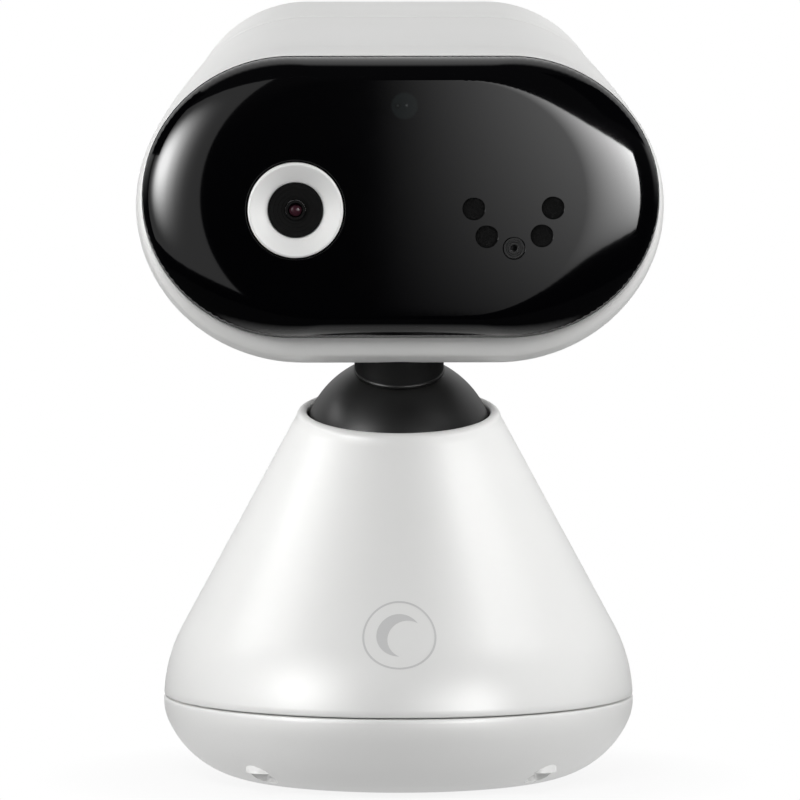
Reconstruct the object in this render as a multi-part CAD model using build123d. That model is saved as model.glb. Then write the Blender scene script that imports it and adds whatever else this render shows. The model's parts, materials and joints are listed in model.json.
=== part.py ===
from build123d import *
import os
from math import asin, cos, radians, sin, sqrt

# Nursery camera: an oval head on a ball joint in a cone-shaped base.
# Millimetres, +Z up, origin at the middle of the resting face, front towards -Y.

# ---------------------------------------------------------------- base
BASE_R = 38.5            # widest radius of the base
BASE_WIDE_Z = 13.0       # height of the widest circle
SEAM_Z = 14.0            # split between the cone shell and the bottom cover
SEAM_GAP = 0.25
CONE_ANGLE = 28.4        # degrees from vertical, per side
SHOULDER_R = 25.6        # arc that joins the vertical side to the cone
BOWL_UPPER_R = 8.0       # first arc below the widest circle
BOWL_UPPER_ANGLE = 23.0
BASE_WALL = 2.2
RIM_Z = 60.8             # rim height over the middle of the base
RIM_TILT = 9.6           # degrees that the rim drops towards the front
FOOT_HEIGHT = 0.3        # how far the pads lift the cover
FOOT_R = 3.5
FOOT_REACH = 18.0
FOOT_POCKET = 1.0        # depth of the recess that holds a pad
WELL_R = 2.3             # screw wells that break the lower edge of the bowl
WELL_REACH = 31.5
WELL_TOP_Z = 8.0

# ---------------------------------------------------------------- ball joint
BALL_Z = 53.9
BALL_R = 15.9
BALL_WALL = 2.0
BALL_CUT = -6.0          # open underside of the dome, from the ball's middle
SOCKET_CLEARANCE = 0.3
NECK_LEAN = 20.0         # degrees that the neck leans forward at rest
NECK_R = 7.3
STEM_R = 6.0
NECK_BORE = 4.5
SLEEVE_TOP = 27.6
STEM_TOP = 31.8
AXLE_R = 2.0
AXLE_FIT = 0.05          # radial running clearance of both bearings
POST_R = 5.0
POST_BORE = 3.0
FRAME_Z = 31.0           # top face of the plate that carries the swivel
FRAME_R = 24.5
FRAME_SCREW_R = 21.0
ARM_INNER = 4.3
ARM_OUTER = 8.3
BOSS_INNER = 9.5
BUSH_R = 3.2
BUSH_END = 13.6          # blind end of the bush pockets in the dome

# ---------------------------------------------------------------- head
WALL = 1.8
GAP = 0.15               # parting line between two shells
FRONT_Y = -18.5
PARTING_Y = 10.0
OVAL_END = 1.06          # reach of the oval's round ends over half its height
# Oval sections of the housing: y, width, height, middle height.
HEAD_SECTIONS = [
    (FRONT_Y, 84.8, 48.9, 95.55),
    (-12.0, 85.8, 51.3, 94.95),
    (0.0, 81.4, 47.5, 98.6),
    (12.0, 71.9, 40.0, 105.2),
    (20.0, 64.0, 33.0, 110.0),
    (24.5, 58.0, 27.5, 110.0),
    (27.0, 50.0, 20.0, 110.0),
]
GLASS_W = 83.6
GLASS_H = 45.5
GLASS_Z = 96.65
GLASS_BACK_Y = -17.5
GLASS_EDGE_Y = -18.6     # where the edge starts to roll over
GLASS_DEPTH = 5.6
GLASS_ROLL_X = 12.0
GLASS_ROLL_Z = 3.8
GLASS_WALL = 1.6
GLASS_FRONT_Y = GLASS_EDGE_Y - GLASS_DEPTH
LENS_X = -17.1
LENS_Z = GLASS_Z - 1.8
RING_R = 7.85
RING_HOLE_R = 4.6
GROOVE_R = 8.35
PUPIL_R = 1.6
POCKET_R = 1.8
EMITTER_PLACES = [(11.7, -1.6), (24.5, -1.5), (13.8, -6.1), (22.7, -6.0)]
MIC_PLACE = (18.2, -8.0)
WINDOW_PLACE = (0.5, 15.0)
WINDOW_R = 2.3
LED_BOARD_Y = -19.8
BRACKET_Y = -6.5
MAIN_BOARD_Y = -1.0
BOARD_T = 1.2
SPEAKER_R = 11.5
SPEAKER_Y = 22.4         # front of the cone, behind the grille
CAP_INSIDE_Y = 25.2
ANTENNA_TOP = 119.5
SPEAKER_Z = 110.0
HEAD_SCREWS = [(-20.0, 91.5), (20.0, 91.5), (-22.0, 115.0), (22.0, 115.0)]
BRACKET_PLACES = [(-33.0, 90.0), (33.0, 90.0), (-33.0, 108.0), (33.0, 108.0)]
SPACER_PLACES = [(-25.0, 92.0), (25.0, 92.0), (-25.0, 111.0), (25.0, 111.0)]
PAIR_X = -15.0
PAIR_Z = 107.5
PAIR_R = 2.4

# ---------------------------------------------------------------- base electronics
BASE_BOARD_Z = 15.2
BASE_BOARD_T = 1.6
BOARD_POSTS = [(-9.0, -4.0), (9.0, -4.0), (-6.5, 25.5), (6.5, 25.5)]
SOCKET_Z = 18.5
SOCKET_W = 9.0
SOCKET_H = 3.3
SLIDER_ANGLE = 28.0      # degrees from the rear centre, about the vertical
SLIDER_Z = 19.0

CENTRED = (Align.CENTER, Align.CENTER, Align.MIN)
HIGH = 400.0             # longer than any cut has to be


# ================================================================ helpers
def rod_z(radius, bottom, top, x=0.0, y=0.0):
    return Pos(x, y, bottom) * Cylinder(radius, top - bottom, align=CENTRED)


def rod_y(radius, front, back, x=0.0, z=0.0):
    return Pos(x, front, z) * Rot(-90, 0, 0) * Cylinder(radius, back - front, align=CENTRED)


def rod_x(radius, left, right, y=0.0, z=0.0):
    return Pos(left, y, z) * Rot(0, 90, 0) * Cylinder(radius, right - left, align=CENTRED)


def block(x_range, y_range, z_range):
    ranges = (x_range, y_range, z_range)
    size = [high - low for low, high in ranges]
    middle = [(high + low) / 2 for low, high in ranges]
    return Pos(*middle) * Box(*size)


def oval(width, height, y, z):
    """Flat top and bottom with half an ellipse at each end."""
    rise = height / 2
    reach = OVAL_END * rise
    flat = width / 2 - reach
    outline = [
        Line((-flat, -rise), (flat, -rise)),
        EllipticalCenterArc((flat, 0), reach, rise, start_angle=-90, arc_size=180),
        Line((flat, rise), (-flat, rise)),
        EllipticalCenterArc((-flat, 0), reach, rise, start_angle=90, arc_size=180),
    ]
    plane = Plane(origin=(0, y, z), x_dir=(1, 0, 0), z_dir=(0, -1, 0))
    return plane * make_face(outline)


def oval_plate(width, height, front, back, z):
    return extrude(oval(width, height, back, z), back - front)


def glass_place(offset):
    """A place on the glass from its offset to the middle of the glass."""
    return offset[0], GLASS_Z + offset[1]


def lean(shape):
    """Carry a piece drawn about the ball's middle into its leaning place."""
    return Pos(0, 0, BALL_Z) * Rot(NECK_LEAN, 0, 0) * shape


def around_base(degrees_from_rear, shape):
    return Rot(0, 0, degrees_from_rear) * shape


def save(name, *solids):
    shape = solids[0] if len(solids) == 1 else Compound(children=list(solids))
    export_step(shape, f"parts/{name}.step")


# ================================================================ base body
def cone_outline(offset, top_z):
    """Half section of the cone, moved inwards by offset, from the seam up."""
    middle_r = BASE_R - SHOULDER_R
    radius = SHOULDER_R - offset
    slope = sin(radians(CONE_ANGLE)) / cos(radians(CONE_ANGLE))

    def on_arc(angle):
        return (middle_r + radius * cos(angle), BASE_WIDE_Z + radius * sin(angle))

    start = on_arc(asin((SEAM_Z - BASE_WIDE_Z) / radius))
    bend = on_arc(radians(CONE_ANGLE))
    halfway = on_arc(radians(CONE_ANGLE) / 2)
    top = (bend[0] - (top_z - bend[1]) * slope, top_z)
    return [
        Line((0, SEAM_Z), start),
        ThreePointArc(start, halfway, bend),
        Line(bend, top),
        Line(top, (0, top_z)),
        Line((0, top_z), (0, SEAM_Z)),
    ]


def turned(lines):
    return revolve(Plane.XZ * make_face(lines), Axis.Z)


def cone_solid(offset, top_z):
    return turned(cone_outline(offset, top_z))


def bowl_solid(offset):
    """The bowl under the seam: two arcs down to a flat bottom."""
    angle = radians(BOWL_UPPER_ANGLE)
    floor = FOOT_HEIGHT + offset
    upper_middle = (BASE_R - BOWL_UPPER_R, BASE_WIDE_Z)
    lower_r = (BASE_WIDE_Z - FOOT_HEIGHT - BOWL_UPPER_R * sin(angle)) / (1 - sin(angle))
    meet = (
        upper_middle[0] + BOWL_UPPER_R * cos(angle),
        upper_middle[1] - BOWL_UPPER_R * sin(angle),
    )
    lower_middle = (meet[0] - lower_r * cos(angle), meet[1] + lower_r * sin(angle))

    def on_upper(a):
        r = BOWL_UPPER_R - offset
        return (upper_middle[0] + r * cos(a), upper_middle[1] - r * sin(a))

    def on_lower(a):
        r = lower_r - offset
        return (lower_middle[0] + r * cos(a), lower_middle[1] - r * sin(a))

    top = SEAM_Z - SEAM_GAP
    quarter = radians(90)
    return turned([
        Line((0, floor), on_lower(quarter)),
        ThreePointArc(on_lower(quarter), on_lower((quarter + angle) / 2), on_lower(angle)),
        ThreePointArc(on_lower(angle), on_upper(angle / 2), on_upper(0)),
        Line(on_upper(0), (on_upper(0)[0], top)),
        Line((on_upper(0)[0], top), (0, top)),
        Line((0, top), (0, floor)),
    ])


def four_corners(radius):
    """Places at 45 degrees to the front, on a circle."""
    reach = radius / sqrt(2)
    return [(x * reach, y * reach) for x in (-1, 1) for y in (-1, 1)]


def base_shell():
    outside = cone_solid(0, RIM_Z + 4)
    under_rim = Pos(0, 0, RIM_Z) * Rot(RIM_TILT, 0, 0) * block((-50, 50), (-50, 50), (-80, 0))
    inside_top = BALL_Z + 2.4
    socket = Pos(0, 0, BALL_Z) * Sphere(BALL_R + SOCKET_CLEARANCE)
    shell = (outside & under_rim) - cone_solid(BASE_WALL, inside_top) - socket
    bosses = [rod_z(3.0, FRAME_Z, BALL_Z, x, y) for x, y in four_corners(FRAME_SCREW_R)]
    bosses += [rod_z(3.0, SEAM_Z, 30, x, y) for x, y in four_corners(WELL_REACH)]
    for boss in bosses:
        shell += boss & outside
    for x, y in four_corners(FRAME_SCREW_R):
        shell -= rod_z(1.1, FRAME_Z, FRAME_Z + 7, x, y)
    for x, y in four_corners(WELL_REACH):
        shell -= rod_z(1.1, SEAM_Z, SEAM_Z + 7, x, y)
    plug_recess = block((-6.2, 6.2), (30, 40), (SOCKET_Z - 3.0, SOCKET_Z + 3.0))
    slider_slot = block((-3.9, 3.9), (30, 40), (SLIDER_Z - 1.5, SLIDER_Z + 1.5))
    return shell - plug_recess - around_base(SLIDER_ANGLE, slider_slot)


def base_cover():
    cover = bowl_solid(0) - bowl_solid(BASE_WALL)
    outside = bowl_solid(0)
    for x, y in four_corners(WELL_REACH):
        cover += rod_z(3.5, 0, SEAM_Z - SEAM_GAP, x, y) & outside
    for x, y in BOARD_POSTS:
        cover += (rod_z(2.2, 0, SEAM_Z - SEAM_GAP, x, y) & outside)
        cover += rod_z(2.2, SEAM_Z - 1, BASE_BOARD_Z, x, y)
    tongue = rod_z(35.9, 12.0, 16.0) - rod_z(34.4, 12.0, 16.0)
    tongue -= block((-7, 7), (20, 40), (SEAM_Z - SEAM_GAP, 20))
    for x, y in four_corners(WELL_REACH):
        tongue -= rod_z(3.3, SEAM_Z - SEAM_GAP, 20, x, y)
    cover += tongue
    for x, y in four_corners(WELL_REACH):
        cover -= rod_z(WELL_R, -1, WELL_TOP_Z, x, y)
        cover -= rod_z(1.3, -1, 20, x, y)
    for x, y in BOARD_POSTS:
        cover -= rod_z(0.9, BASE_BOARD_Z - 5, BASE_BOARD_Z + 1, x, y)
    for x, y in four_corners(FOOT_REACH):
        cover -= rod_z(FOOT_R + 0.1, -1, FOOT_HEIGHT + FOOT_POCKET, x, y)
    return cover


def foot_pads():
    top = FOOT_HEIGHT + FOOT_POCKET
    return [rod_z(FOOT_R, 0, top, x, y) for x, y in four_corners(FOOT_REACH)]


def base_screws():
    screws = []
    for x, y in four_corners(WELL_REACH):
        head = rod_z(2.1, WELL_TOP_Z - 1.8, WELL_TOP_Z, x, y)
        slot = block((x - 1.5, x + 1.5), (y - 0.3, y + 0.3), (WELL_TOP_Z - 2, WELL_TOP_Z - 1.0))
        screws.append(head + rod_z(1.1, WELL_TOP_Z, SEAM_Z + 6, x, y) - slot)
    return screws


def ballast_ring():
    floor = FOOT_HEIGHT + BASE_WALL
    return rod_z(22.0, floor, floor + 6.0) - rod_z(13.5, floor, floor + 6.0)


def pivot_frame():
    plate = rod_z(FRAME_R, FRAME_Z - 2.5, FRAME_Z)
    hub = rod_z(10.5, FRAME_Z - 6, FRAME_Z)
    frame = plate + hub
    for quarter in range(4):
        window = rod_z(3.0, 0, HIGH, 17.5, 0)
        frame -= Rot(0, 0, 90 * quarter) * window
    stop_lug = block((-1.5, 1.5), (11.2, 14.5), (FRAME_Z - 1, FRAME_Z + 4.6))
    frame += stop_lug
    for x, y in four_corners(FRAME_SCREW_R):
        frame -= rod_z(1.3, 0, HIGH, x, y)
    return frame - rod_z(6.5, 0, HIGH)


def pan_bushing():
    body = rod_z(6.5, FRAME_Z - 6, FRAME_Z) + rod_z(9.5, FRAME_Z, FRAME_Z + 1.0)
    return body - rod_z(POST_R + AXLE_FIT, 0, HIGH)


def frame_screws():
    screws = []
    for x, y in four_corners(FRAME_SCREW_R):
        head = rod_z(2.2, FRAME_Z - 4.0, FRAME_Z - 2.5, x, y)
        slot = block((x - 1.5, x + 1.5), (y - 0.3, y + 0.3), (FRAME_Z - 4.1, FRAME_Z - 3.3))
        screws.append(head + rod_z(1.1, FRAME_Z - 2.5, FRAME_Z + 6, x, y) - slot)
    return screws


def base_board():
    top = BASE_BOARD_Z + BASE_BOARD_T
    board = rod_z(32.5, BASE_BOARD_Z, top) & block((-18.3, 18.3), (-8, 34), (0, 40))
    for x, y in BOARD_POSTS:
        board -= rod_z(1.0, 0, 40, x, y)
    return board


def board_screws():
    top = BASE_BOARD_Z + BASE_BOARD_T
    return [rod_z(1.8, top, top + 1.2, x, y) + rod_z(0.9, BASE_BOARD_Z - 4, top, x, y)
            for x, y in BOARD_POSTS]


def power_socket():
    bottom = BASE_BOARD_Z + BASE_BOARD_T
    top = bottom + SOCKET_H
    side = SOCKET_W / 2
    shell = block((-side, side), (29.2, 36.6), (bottom, top))
    shell = fillet(shell.edges().filter_by(Axis.Y), 1.2)
    cavity = block((-side + 0.35, side - 0.35), (30.5, 37), (bottom + 0.35, top - 0.35))
    cavity = fillet(cavity.edges().filter_by(Axis.Y), 0.9)
    middle = (bottom + top) / 2
    tongue = block((-3.3, 3.3), (30.4, 35.4), (middle - 0.35, middle + 0.35))
    return shell - cavity + tongue


def slide_switch_body():
    bottom = BASE_BOARD_Z + BASE_BOARD_T
    case = block((-4.5, 4.5), (27.6, 31.8), (bottom, bottom + 3.6))
    way = block((-2.9, 2.9), (30.3, 32), (SLIDER_Z - 1.2, SLIDER_Z + 1.2))
    return around_base(SLIDER_ANGLE, case - way)


def power_slider():
    stem = block((-1.2, 1.2), (30.6, 37.5), (SLIDER_Z - 0.8, SLIDER_Z + 0.8))
    plate = block((-5.6, 5.6), (32.9, 33.8), (SLIDER_Z - 1.9, SLIDER_Z + 1.9))
    grip = block((-2.3, 2.3), (35.2, 38.2), (SLIDER_Z - 1.2, SLIDER_Z + 1.2))
    for offset in (-1.2, 0.0, 1.2):
        grip -= block((offset - 0.2, offset + 0.2), (37.8, 39), (SLIDER_Z - 2, SLIDER_Z + 2))
    return around_base(SLIDER_ANGLE, stem + plate + grip)


def base_connector():
    bottom = BASE_BOARD_Z + BASE_BOARD_T
    return block((-4.0, 4.0), (10.0, 14.5), (bottom, bottom + 3.6))


def base_cable():
    height = BASE_BOARD_Z + BASE_BOARD_T + 1.8
    path = FilletPolyline((0, 10, height), (0, 0, height), (0, 0, 23.5), radius=2.4)
    return swept(path, 1.1)


def swept(path, radius):
    section = Plane(origin=path @ 0, z_dir=path % 0) * Circle(radius)
    return sweep(section, path=path)


# ================================================================ swivel body
def swivel_post():
    flange_bottom = FRAME_Z + 1.85
    shaft = rod_z(POST_R, FRAME_Z - 7.8, FRAME_Z + 9)
    flange = rod_z(9.5, flange_bottom, FRAME_Z + 3.6)
    tab = block((-1.5, 1.5), (-13.2, -8), (flange_bottom, FRAME_Z + 3.6))
    foot = block((-ARM_OUTER, ARM_OUTER), (-4.2, 4.2), (FRAME_Z + 7.5, FRAME_Z + 10.5))
    post = shaft + flange + tab + foot
    for side in (-1, 1):
        low, high = sorted((side * ARM_INNER, side * ARM_OUTER))
        post += block((low, high), (-4.2, 4.2), (FRAME_Z + 8, BALL_Z))
        post += rod_x(4.2, low, high, z=BALL_Z)
    post -= rod_z(POST_BORE, 0, FRAME_Z + 11)
    return post - rod_x(AXLE_R, -20, 20, z=BALL_Z)


def pan_washer():
    return (rod_z(9.2, FRAME_Z + 1.05, FRAME_Z + 1.85)
            - rod_z(POST_R, 0, HIGH))


def pan_retainer():
    top = FRAME_Z - 6.1
    return rod_z(8.5, top - 1.6, top) - rod_z(POST_R, 0, HIGH)


def tilt_axle():
    return rod_x(AXLE_R, 0.3 - BUSH_END, BUSH_END - 0.3, z=BALL_Z)


def tilt_washers():
    washers = []
    for side in (-1, 1):
        low, high = sorted((side * ARM_OUTER, side * (BOSS_INNER - 0.1)))
        ring = rod_x(4.0, low, high, z=BALL_Z) - rod_x(AXLE_R, low, high, z=BALL_Z)
        washers.append(ring)
    return washers


def axle_clips():
    clips = []
    for side in (-1, 1):
        low, high = sorted((side * (ARM_INNER - 0.9), side * ARM_INNER))
        ring = rod_x(3.4, low, high, z=BALL_Z) - rod_x(AXLE_R, low, high, z=BALL_Z)
        gap = block((low, high), (-0.9, 0.9), (BALL_Z, BALL_Z + 6))
        clips.append(ring - gap)
    return clips


def swivel_cable():
    return rod_z(1.3, FRAME_Z - 7.0, FRAME_Z + 13)


# ================================================================ head body: neck
def ball_dome():
    inner_r = BALL_R - BALL_WALL

    def on_sphere(radius, height):
        return (sqrt(radius ** 2 - height ** 2), height)

    outer_neck = sqrt(BALL_R ** 2 - STEM_R ** 2)
    inner_neck = sqrt(inner_r ** 2 - NECK_BORE ** 2)
    dome = Rot(0, 0, 45) * turned([
        Line(on_sphere(inner_r, BALL_CUT), on_sphere(BALL_R, BALL_CUT)),
        ThreePointArc(on_sphere(BALL_R, BALL_CUT), (BALL_R, 0), (STEM_R, outer_neck)),
        Line((STEM_R, outer_neck), (STEM_R, STEM_TOP)),
        Line((STEM_R, STEM_TOP), (NECK_BORE, STEM_TOP)),
        Line((NECK_BORE, STEM_TOP), (NECK_BORE, inner_neck)),
        ThreePointArc((NECK_BORE, inner_neck), (inner_r, 0), on_sphere(inner_r, BALL_CUT)),
    ])
    for side in (-1, 1):
        low, high = sorted((side * BOSS_INNER, side * (inner_r + 0.4)))
        dome += rod_x(4.4, low, high)
    for side in (-1, 1):
        low, high = sorted((side * (BOSS_INNER - 1), side * BUSH_END))
        dome -= rod_x(BUSH_R, low, high)
    return lean(dome)


def neck_sleeve():
    bottom = sqrt(BALL_R ** 2 - STEM_R ** 2) + 0.05
    sleeve = rod_z(NECK_R, bottom, SLEEVE_TOP)
    lower_edge = sleeve.edges().sort_by(Axis.Z)[0]
    sleeve = fillet(lower_edge, 1.0)
    return lean(sleeve - rod_z(STEM_R, 0, HIGH))


def axle_bushes():
    bushes = []
    for side in (-1, 1):
        low, high = sorted((side * BOSS_INNER, side * BUSH_END))
        bushes.append(lean(rod_x(BUSH_R, low, high) - rod_x(AXLE_R + AXLE_FIT, low, high)))
    return bushes


def neck_nut():
    nut = extrude(Plane.XY.offset(SLEEVE_TOP) * RegularPolygon(8.4, 6), 3.0)
    return lean(nut - rod_z(STEM_R, 0, HIGH))


def head_cable():
    return lean(rod_z(1.3, 15, STEM_TOP + 6))


# ================================================================ head body: housing
def head_body(inset):
    """Loft through the oval sections, moved inwards by inset."""
    sections = []
    for y, width, height, z in HEAD_SECTIONS:
        shift = inset if y > 20.0 else 0.0
        sections.append(oval(width - 2 * inset, height - 2 * inset, y - shift, z))
    return loft(sections)


def head_slab(front, back):
    return block((-60, 60), (front, back), (50, 150))


def screw_boss(x, z, radius, front, back):
    return rod_y(radius, front, back, x, z)


def screw_rib(x, z, front, back):
    if z < GLASS_Z:
        return block((x - 0.6, x + 0.6), (front, back), (60, z))
    return block((x - 0.6, x + 0.6), (front, back), (z, 140))


def head_shell(outside, inside):
    ledge_y = GLASS_BACK_Y + 0.3
    shell = outside & head_slab(-30, PARTING_Y - GAP)
    shell -= inside & head_slab(ledge_y + WALL, 60)
    shell -= oval_plate(GLASS_W + 0.2, GLASS_H + 0.2, -30, ledge_y, GLASS_Z)
    shell -= oval_plate(GLASS_W - 5.2, GLASS_H - 5.0, -30, 0, GLASS_Z)
    for x, z in HEAD_SCREWS:
        shell += screw_boss(x, z, 3.0, PARTING_Y - 9, PARTING_Y - GAP) & outside
        shell += screw_rib(x, z, PARTING_Y - 8, PARTING_Y - GAP) & outside
    for x, z in HEAD_SCREWS:
        shell -= screw_boss(x, z, 1.1, PARTING_Y - 7, PARTING_Y)
    for x in (-12, 12):
        shell += block((x - 0.8, x + 0.8), (2, 5), (ANTENNA_TOP, 140)) & outside
    for x, z in BRACKET_PLACES:
        shell += bracket_boss(x, z, outside)
        shell -= rod_y(0.9, BRACKET_Y + 1.5, BRACKET_Y + 8, x, z)
    return shell - lean(rod_z(NECK_R + 0.1, 10, STEM_TOP))


def rear_cover(outside, inside):
    cover = (outside & head_slab(PARTING_Y, 60)) - inside
    for x, z in HEAD_SCREWS:
        cover += screw_boss(x, z, 3.4, PARTING_Y, 30) & outside
    for x, z in HEAD_SCREWS:
        cover -= screw_boss(x, z, 2.4, PARTING_Y + 3, 40)
        cover -= screw_boss(x, z, 1.3, PARTING_Y - 1, 40)
    for x, z in grille_places():
        cover -= rod_y(0.75, 20, 40, x, z)
    cover -= rod_y(PAIR_R + 0.3, 20, 40, PAIR_X, PAIR_Z)
    return cover


def grille_places():
    """One hole in the middle and two rings of holes around it."""
    places = [(0.0, SPEAKER_Z)]
    for ring, count in ((3.2, 6), (6.4, 12)):
        for step in range(count):
            angle = radians(360 * step / count)
            places.append((ring * cos(angle), SPEAKER_Z + ring * sin(angle)))
    return places


def head_screws():
    screws = []
    for x, z in HEAD_SCREWS:
        seat = PARTING_Y + 3
        head = rod_y(2.1, seat, seat + 1.8, x, z)
        slot = block((x - 1.4, x + 1.4), (seat + 1.1, seat + 2), (z - 0.3, z + 0.3))
        screws.append(head + rod_y(1.1, PARTING_Y - 6, seat, x, z) - slot)
    return screws


# ================================================================ head body: front
def glass_body(inset):
    """Pillow that rolls back at its edge along a quarter ellipse."""
    back = GLASS_BACK_Y + (0.0 if inset == 0 else 1.0)
    sections = [oval(GLASS_W - 2 * inset, GLASS_H - 2 * inset, back, GLASS_Z)]
    for angle in (0, 25, 45, 62, 77, 90):
        rolled = 1 - cos(radians(angle))
        width = GLASS_W - 2 * (inset + GLASS_ROLL_X * rolled)
        height = GLASS_H - 2 * (inset + GLASS_ROLL_Z * rolled)
        y = GLASS_EDGE_Y + inset - GLASS_DEPTH * sin(radians(angle))
        sections.append(oval(width, height, y, GLASS_Z))
    return loft(sections)


def front_glass():
    glass = glass_body(0) - glass_body(GLASS_WALL)
    glass -= rod_y(GROOVE_R, -40, 0, LENS_X, LENS_Z)
    for place in EMITTER_PLACES + [MIC_PLACE]:
        x, z = glass_place(place)
        glass -= rod_y(POCKET_R, -40, 0, x, z)
    return glass


def glass_seal():
    front = GLASS_BACK_Y
    ring = oval_plate(GLASS_W - 0.4, GLASS_H - 0.4, front, front + 0.3, GLASS_Z)
    return ring - oval_plate(GLASS_W - 4.0, GLASS_H - 4.0, front, front + 0.3, GLASS_Z)


def lens_ring():
    back = GLASS_FRONT_Y + GLASS_WALL
    ring = rod_y(RING_R, GLASS_FRONT_Y - 0.7, back, LENS_X, LENS_Z)
    front_edges = ring.edges().sort_by(Axis.Y)[:1]
    ring = fillet(front_edges, 0.5)
    ring += rod_y(RING_R + 2.0, back, back + 1.2, LENS_X, LENS_Z)
    return ring - rod_y(RING_HOLE_R, -40, 0, LENS_X, LENS_Z)


def lens_shroud():
    front = GLASS_FRONT_Y + 0.2
    disc = rod_y(RING_HOLE_R, front, front + 1.6, LENS_X, LENS_Z)
    return disc - rod_y(PUPIL_R, -40, 0, LENS_X, LENS_Z)


def lens_barrel():
    body = rod_y(4.4, GLASS_FRONT_Y + 1.9, -12.0, LENS_X, LENS_Z)
    nose = rod_y(PUPIL_R, GLASS_FRONT_Y + 0.1, GLASS_FRONT_Y + 1.9, LENS_X, LENS_Z)
    thread = rod_y(4.0, -12.0, -10.4, LENS_X, LENS_Z)
    bore = rod_y(PUPIL_R - 0.4, -40, 0, LENS_X, LENS_Z)
    return body + nose + thread - bore


def lens_front_element():
    back = GLASS_FRONT_Y + 1.6
    return rod_y(PUPIL_R - 0.4, GLASS_FRONT_Y + 0.6, back, LENS_X, LENS_Z)


def lens_holder():
    side = 7.0
    front = -12.0
    case = block((LENS_X - side, LENS_X + side), (front, -8.6), (LENS_Z - side, LENS_Z + side))
    case -= rod_y(4.0, -14, -10.4, LENS_X, LENS_Z)
    return case - block((LENS_X - 5, LENS_X + 5), (-10.4, -8), (LENS_Z - 5, LENS_Z + 5))


def image_sensor():
    return block((LENS_X - 4, LENS_X + 4), (-9.7, -8.6), (LENS_Z - 3.5, LENS_Z + 3.5))


def sensor_board():
    return block((LENS_X - 11, LENS_X + 11), (-8.6, -7.4), (LENS_Z - 9.5, LENS_Z + 9.5))


def led_board():
    return block((-5, 30), (LED_BOARD_Y, LED_BOARD_Y + BOARD_T), (84.5, 113.3))


def ir_emitters():
    emitters = []
    for place in EMITTER_PLACES:
        x, z = glass_place(place)
        body = rod_y(1.5, GLASS_FRONT_Y + 1.6, LED_BOARD_Y, x, z)
        emitters.append(fillet(body.edges().sort_by(Axis.Y)[:1], 0.9))
    return emitters


def ir_windows():
    windows = []
    for place in EMITTER_PLACES:
        x, z = glass_place(place)
        windows.append(rod_y(POCKET_R, GLASS_FRONT_Y + 0.7, GLASS_FRONT_Y + 1.5, x, z))
    return windows


def mic_port():
    x, z = glass_place(MIC_PLACE)
    front = GLASS_FRONT_Y + 0.3
    disc = rod_y(POCKET_R, front, GLASS_FRONT_Y + 1.6, x, z)
    groove = rod_y(1.3, front, front + 0.2, x, z) - rod_y(1.0, front, front + 0.2, x, z)
    return disc - groove - rod_y(0.5, -40, 0, x, z)


def mic_boot():
    x, z = glass_place(MIC_PLACE)
    front = GLASS_FRONT_Y + 1.6
    boot = rod_y(2.6, front, LED_BOARD_Y, x, z)
    return boot - rod_y(0.5, -40, 0, x, z) - rod_y(2.0, front + 0.9, 0, x, z)


def microphone():
    x, z = glass_place(MIC_PLACE)
    return rod_y(2.0, GLASS_FRONT_Y + 2.5, LED_BOARD_Y, x, z)


def sensor_window():
    x, z = glass_place(WINDOW_PLACE)
    front = GLASS_FRONT_Y + GLASS_WALL
    return rod_y(WINDOW_R, front, front + 0.8, x, z)


def light_sensor():
    x, z = glass_place(WINDOW_PLACE)
    return block((x - 1.9, x - 0.3), (LED_BOARD_Y - 0.9, LED_BOARD_Y), (z - 0.9, z + 0.9))


def status_led():
    x, z = glass_place(WINDOW_PLACE)
    return block((x + 0.5, x + 1.7), (LED_BOARD_Y - 0.7, LED_BOARD_Y), (z - 0.6, z + 0.6))


# ================================================================ head body: inside
def bracket_boss(x, z, outside):
    reach = block(sorted((x, x * 1.4)), (BRACKET_Y + 1.5, BRACKET_Y + 7.5), (z - 1.2, z + 1.2))
    return (rod_y(2.6, BRACKET_Y + 1.5, BRACKET_Y + 7.5, x, z) + reach) & outside


def inner_bracket():
    plate = block((-36, 36), (BRACKET_Y, BRACKET_Y + 1.5), (86.5, 113.5))
    plate = fillet(plate.edges().filter_by(Axis.Y), 5)
    plate -= block((-3, 13), (-20, 0), (94, 105))
    for side in (-1, 1):
        x = side * 8.0 + 12.5
        plate += rod_y(2.0, LED_BOARD_Y + BOARD_T, BRACKET_Y, x, 111.5)
    plate += rod_y(2.0, LED_BOARD_Y + BOARD_T, BRACKET_Y, 26.5, 88.0)
    for x in (LENS_X - 8.5, LENS_X + 8.5):
        plate += rod_y(1.6, -7.4, BRACKET_Y, x, LENS_Z + 7.5)
        plate += rod_y(1.6, -7.4, BRACKET_Y, x, LENS_Z - 7.0)
    for x, z in BRACKET_PLACES:
        plate -= rod_y(1.0, -20, 20, x, z)
    return plate


def bracket_screws():
    screws = []
    for x, z in BRACKET_PLACES:
        head = rod_y(1.9, BRACKET_Y - 1.3, BRACKET_Y, x, z)
        screws.append(head + rod_y(0.9, BRACKET_Y, BRACKET_Y + 7, x, z))
    return screws


def board_spacers():
    return [rod_y(2.0, BRACKET_Y + 1.5, MAIN_BOARD_Y, x, z) for x, z in SPACER_PLACES]


def main_board():
    back = MAIN_BOARD_Y + BOARD_T
    return block((-29, 29), (MAIN_BOARD_Y, back), (88.5, 114.5))


def shield_can():
    front = MAIN_BOARD_Y + BOARD_T
    can = block((-14, 8), (front, front + 2.6), (94, 112))
    return can - block((-13.7, 7.7), (front, front + 2.3), (94.3, 111.7))


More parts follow.
